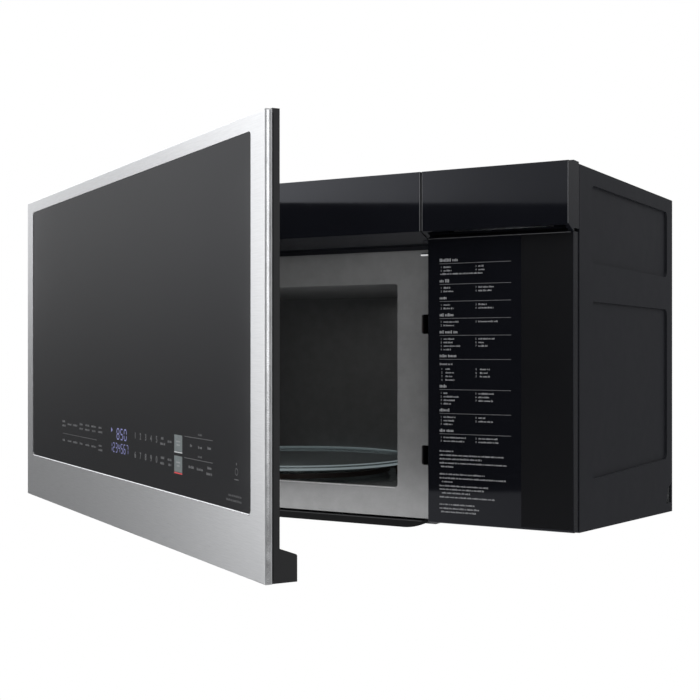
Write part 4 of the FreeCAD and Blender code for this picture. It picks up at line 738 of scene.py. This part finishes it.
def fine_edges():
    """Lines too thin for solids: beside the glass, on folds, lips and arrises, many of them
    painted highlights and painted shade: the dark line and the shadowed gap on the door's end, the
    light lines on the opening's lip, the covers' arrises and the visor's fold, and glowing rings
    on the tray's rim.
    """
    bright = bmesh.new()
    add_ridge(bright, (31.0, 55.1), (728.0, 55.1), 1.2, 0.6)
    add_plate(bright, 27.3, 219.0, 1.1, 328.0, 0.0, 0.1)
    from_bmesh("glass_bevels", bright, SKIN_FACE, BEVEL, "door")

    # painted shade: a darker strip behind the front corner of the door's end, for the dark line
    # that its rounding shows
    plate_piece("door_end_painted_shade_line", ((1.3, 199.0, 0.9, 396.0, -0.5, 0.05),),
                SKIN_END, DOOR_END_SHADE_LINE, "door")
    band = bmesh.new()
    add_ridge(band, (3.9, 1.0), (3.9, 397.0), 4.2, 0.38)
    from_bmesh("door_end_band", band, SKIN_END, TRIM_BRIGHT, "door")
    # painted shadow: a near-black strip sunk in the door's end, where the gap to the back frame
    # lies in shade
    plate_piece("door_end_shadow_strip", ((7.6, 199.0, 1.4, 392.0, -1.2, -0.72),),
                SKIN_END, GAP_SHADE_BLACK, "door")

    # painted highlight: a thin pale line along the lower edge of the cavity's opening
    plate_piece("opening_lip_highlight_line", ((CAVITY_X, 34.9, 496.0, 0.8, -0.3, 0.12),),
                PLATE_FACE, LIP_PAINTED_HIGHLIGHT, "chassis")
    # painted highlights: grey lines on the vent covers' front for the light that their end arrises
    # catch
    plate_piece("cover_arris_highlights", [(u, 364.0, width, 66.0, -0.4, 0.06)
                                  for u, width in ((203.4, 0.7), (206.3, 0.6), (378.7, 0.6))],
                COVER_FACE, INK_RULE_AND_ARRIS_HIGHLIGHT, "chassis")
    clip = bmesh.new()
    add_ridge(clip, (188.3, 307.3), (199.0, 307.3), 3.4, 1.7)
    from_bmesh("front_plate_clip", clip, PLATE_FACE, TRIM_BRIGHT, "chassis")
    # painted highlight: a faint grey line on the visor for the light along its fold
    plate_piece("visor_fold_highlight_line", ((0.0, -1.6, 380.0, 0.9, 0.0, 0.1),),
                VISOR_FACE, INK_FAINT_AND_FOLD_HIGHLIGHT, "visor")

    # painted highlights: two glowing rings on the tray's rim, one at its top edge and one at its
    # outer side
    rims = bmesh.new()
    add_ring(rims, 0, 0, 162.6, 161.0, 49.0, 50.4, 120)
    add_ring(rims, 0, 0, 162.9, 162.0, 44.2, 46.9, 120)
    from_bmesh("tray_rim_highlight_rings", rims, TRAY_FACE, TRAY_RIM_GLOW_HIGHLIGHT, "tray", smooth=True)


# ------------------------------------------------------------------ stage, light, camera

FLOOR_RADIUS = 1.9
FLOOR_CENTRE = (0, -0.3, -1.25)
CAMERA_PLACE = (0.82264, -1.63987, 0.00587)
CAMERA_HEADING = math.radians(29.92)
CAMERA_LENS, CAMERA_SHIFT = 62.72, 0.0022


def stage():
    floor = bpy.data.meshes.new("floor")
    work = bmesh.new()
    bmesh.ops.create_circle(work, cap_ends=True, segments=96, radius=FLOOR_RADIUS)
    work.to_mesh(floor)
    work.free()
    disc = bpy.data.objects.new("floor", floor)
    disc.location = FLOOR_CENTRE
    bpy.context.collection.objects.link(disc)
    look = Look("floor", (0.86, 0.86, 0.86), 0.7)
    look.tint(look.noise(3, 3), 0.99, 1.01)
    disc.data.materials.append(look.material)


def world():
    """A graded room, given by the direction x, y, z in which a surface sees it."""
    made = bpy.data.worlds.new("studio")
    made.use_nodes = True
    bpy.context.scene.world = made
    tree = made.node_tree
    tree.nodes.clear()

    def node(kind, **settings):
        item = tree.nodes.new(kind)
        for key, value in settings.items():
            setattr(item, key, value)
        return item

    def combine(kind, a, b):
        item = node("ShaderNodeMath", operation=kind)
        for socket, value in zip(item.inputs, (a, b)):
            if isinstance(value, (int, float)):
                socket.default_value = value
            else:
                tree.links.new(value, socket)
        return item.outputs[0]

    def total(first, *rest):
        for item in rest:
            first = combine("ADD", first, item)
        return first

    def times(first, *rest):
        for item in rest:
            first = combine("MULTIPLY", first, item)
        return first

    def smooth(value, low, high, end=1.0):
        """Goes from 0 where value is low to end where it is high."""
        item = node("ShaderNodeMapRange", interpolation_type="SMOOTHSTEP")
        tree.links.new(value, item.inputs["Value"])
        item.inputs["From Min"].default_value = low
        item.inputs["From Max"].default_value = high
        item.inputs["To Max"].default_value = end
        return item.outputs["Result"]

    def weighed(start, gain, share):
        """start + gain * share."""
        return total(times(share, gain), start)

    def blend(a, b, share):
        item = node("ShaderNodeMix", data_type="FLOAT")
        for index, value in ((0, share), (2, a), (3, b)):
            tree.links.new(value, item.inputs[index])
        return item.outputs[0]

    coords = node("ShaderNodeTexCoord")
    split = node("ShaderNodeSeparateXYZ")
    tree.links.new(coords.outputs["Generated"], split.inputs[0])
    x, y, z = split.outputs

    # on the left, where the door looks: brighter upwards, towards the front and at the bottom,
    # with two lit fields that show in the steel on the right and on the left of the glass
    near = smooth(y, 0.30, 0.04)
    field_right = times(1.55, smooth(y, 0.102, 0.085),
                        smooth(z, -0.22, -0.07), smooth(z, 0.20, 0.10))
    field_left = times(smooth(y, 0.272, 0.30), smooth(z, -0.02, 0.10))
    left = total(weighed(0.10, 0.10, near),
                 times(weighed(0.31, 0.12, near), smooth(z, -0.10, 0.20)),
                 times(weighed(1.30, 0.42, near), smooth(z, 0.17, 0.32)),
                 times(weighed(-0.10, 0.35, near), smooth(z, -0.14, -0.34)),
                 field_right, field_left)
    # in front: dark at eye level, a screen with a sharp lower edge above it, and light from
    # below in steps, most of it low in front
    leftward = smooth(x, -0.34, -0.62)
    front = total(weighed(0.11, 0.38, leftward),
                  times(weighed(0.42, 1.26, leftward), smooth(z, 0.113, 0.118)),
                  smooth(z, 0.05, -0.08, 0.12), smooth(z, -0.092, -0.104, 0.16),
                  times(smooth(z, -0.16, -0.42, 0.4), smooth(y, 0.2, -0.2)))
    # on the right: lighter upwards and downwards, with a lit screen for the polished fold of
    # the door's end and a weak one for the side sheet
    fold_screen = times(1.5, smooth(y, -0.11, -0.21), smooth(y, -0.52, -0.42),
                        smooth(z, -0.13, 0.0))
    side_screen = times(smooth(y, 0.62, 0.45, 0.08), smooth(y, -0.12, 0.0))
    right = total(weighed(0.19, 0.35, smooth(z, 0.1, 0.6)), fold_screen, side_screen,
                  smooth(z, -0.2, -0.6, 0.7))
    # behind, where the wall is
    rear = weighed(0.14, 0.7, smooth(z, 0.0, 0.7))

    level = blend(front, left, smooth(x, -0.66, -0.90))
    level = blend(level, right, smooth(x, -0.1, 0.35))
    level = blend(level, rear, smooth(y, 0.36, 0.7))

    room = node("ShaderNodeBackground")
    room.inputs["Color"].default_value = (0.985, 0.99, 1.0, 1)
    tree.links.new(level, room.inputs["Strength"])
    white = node("ShaderNodeBackground")
    white.inputs["Color"].default_value = (1, 1, 1, 1)
    # the background is white to the eye, through glass, and in gloss that looks up at it;
    # gloss that looks down sees it in part
    path = node("ShaderNodeLightPath")
    open_sky = total(smooth(z, 0.42, 0.62), smooth(z, -0.42, -0.62, 0.4))
    seen = total(path.outputs["Is Camera Ray"], path.outputs["Is Transmission Ray"],
                 times(path.outputs["Is Glossy Ray"], open_sky))
    mix = node("ShaderNodeMixShader")
    tree.links.new(combine("MINIMUM", seen, 1.0), mix.inputs[0])
    tree.links.new(room.outputs[0], mix.inputs[1])
    tree.links.new(white.outputs[0], mix.inputs[2])
    out = node("ShaderNodeOutputWorld")
    tree.links.new(mix.outputs[0], out.inputs[0])


def soft_light(name, where, towards, size, power, seen=True):
    data = bpy.data.lights.new(name, "AREA")
    data.shape = "RECTANGLE"
    data.size, data.size_y = size
    data.energy = power
    data.color = (1.0, 0.995, 0.985)
    light = bpy.data.objects.new(name, data)
    light.location = where
    direction = Vector(towards) - Vector(where)
    light.rotation_euler = direction.to_track_quat("-Z", "Y").to_euler()
    light.visible_camera = seen
    bpy.context.collection.objects.link(light)


def camera():
    data = bpy.data.cameras.new("camera")
    data.sensor_width = 36
    data.lens = CAMERA_LENS
    data.shift_y = CAMERA_SHIFT
    data.clip_start = 0.05
    data.clip_end = 50
    view = bpy.data.objects.new("camera", data)
    view.location = CAMERA_PLACE
    view.rotation_euler = (math.radians(90), 0, CAMERA_HEADING)
    bpy.context.collection.objects.link(view)
    bpy.context.scene.camera = view


control_band()
guide_print()
fasteners()
fine_edges()
stage()
world()
soft_light("top_light", where=(0.1, -0.9, 2.2), towards=(0, -0.3, 0), size=(1.6, 1.2), power=8)
soft_light("oven_lamp", where=(-0.05, -0.20, 0.078), towards=(-0.05, -0.20, -0.1),
           size=(0.12, 0.10), power=0.06, seen=False)
camera()
bpy.context.scene.view_settings.view_transform = "Standard"
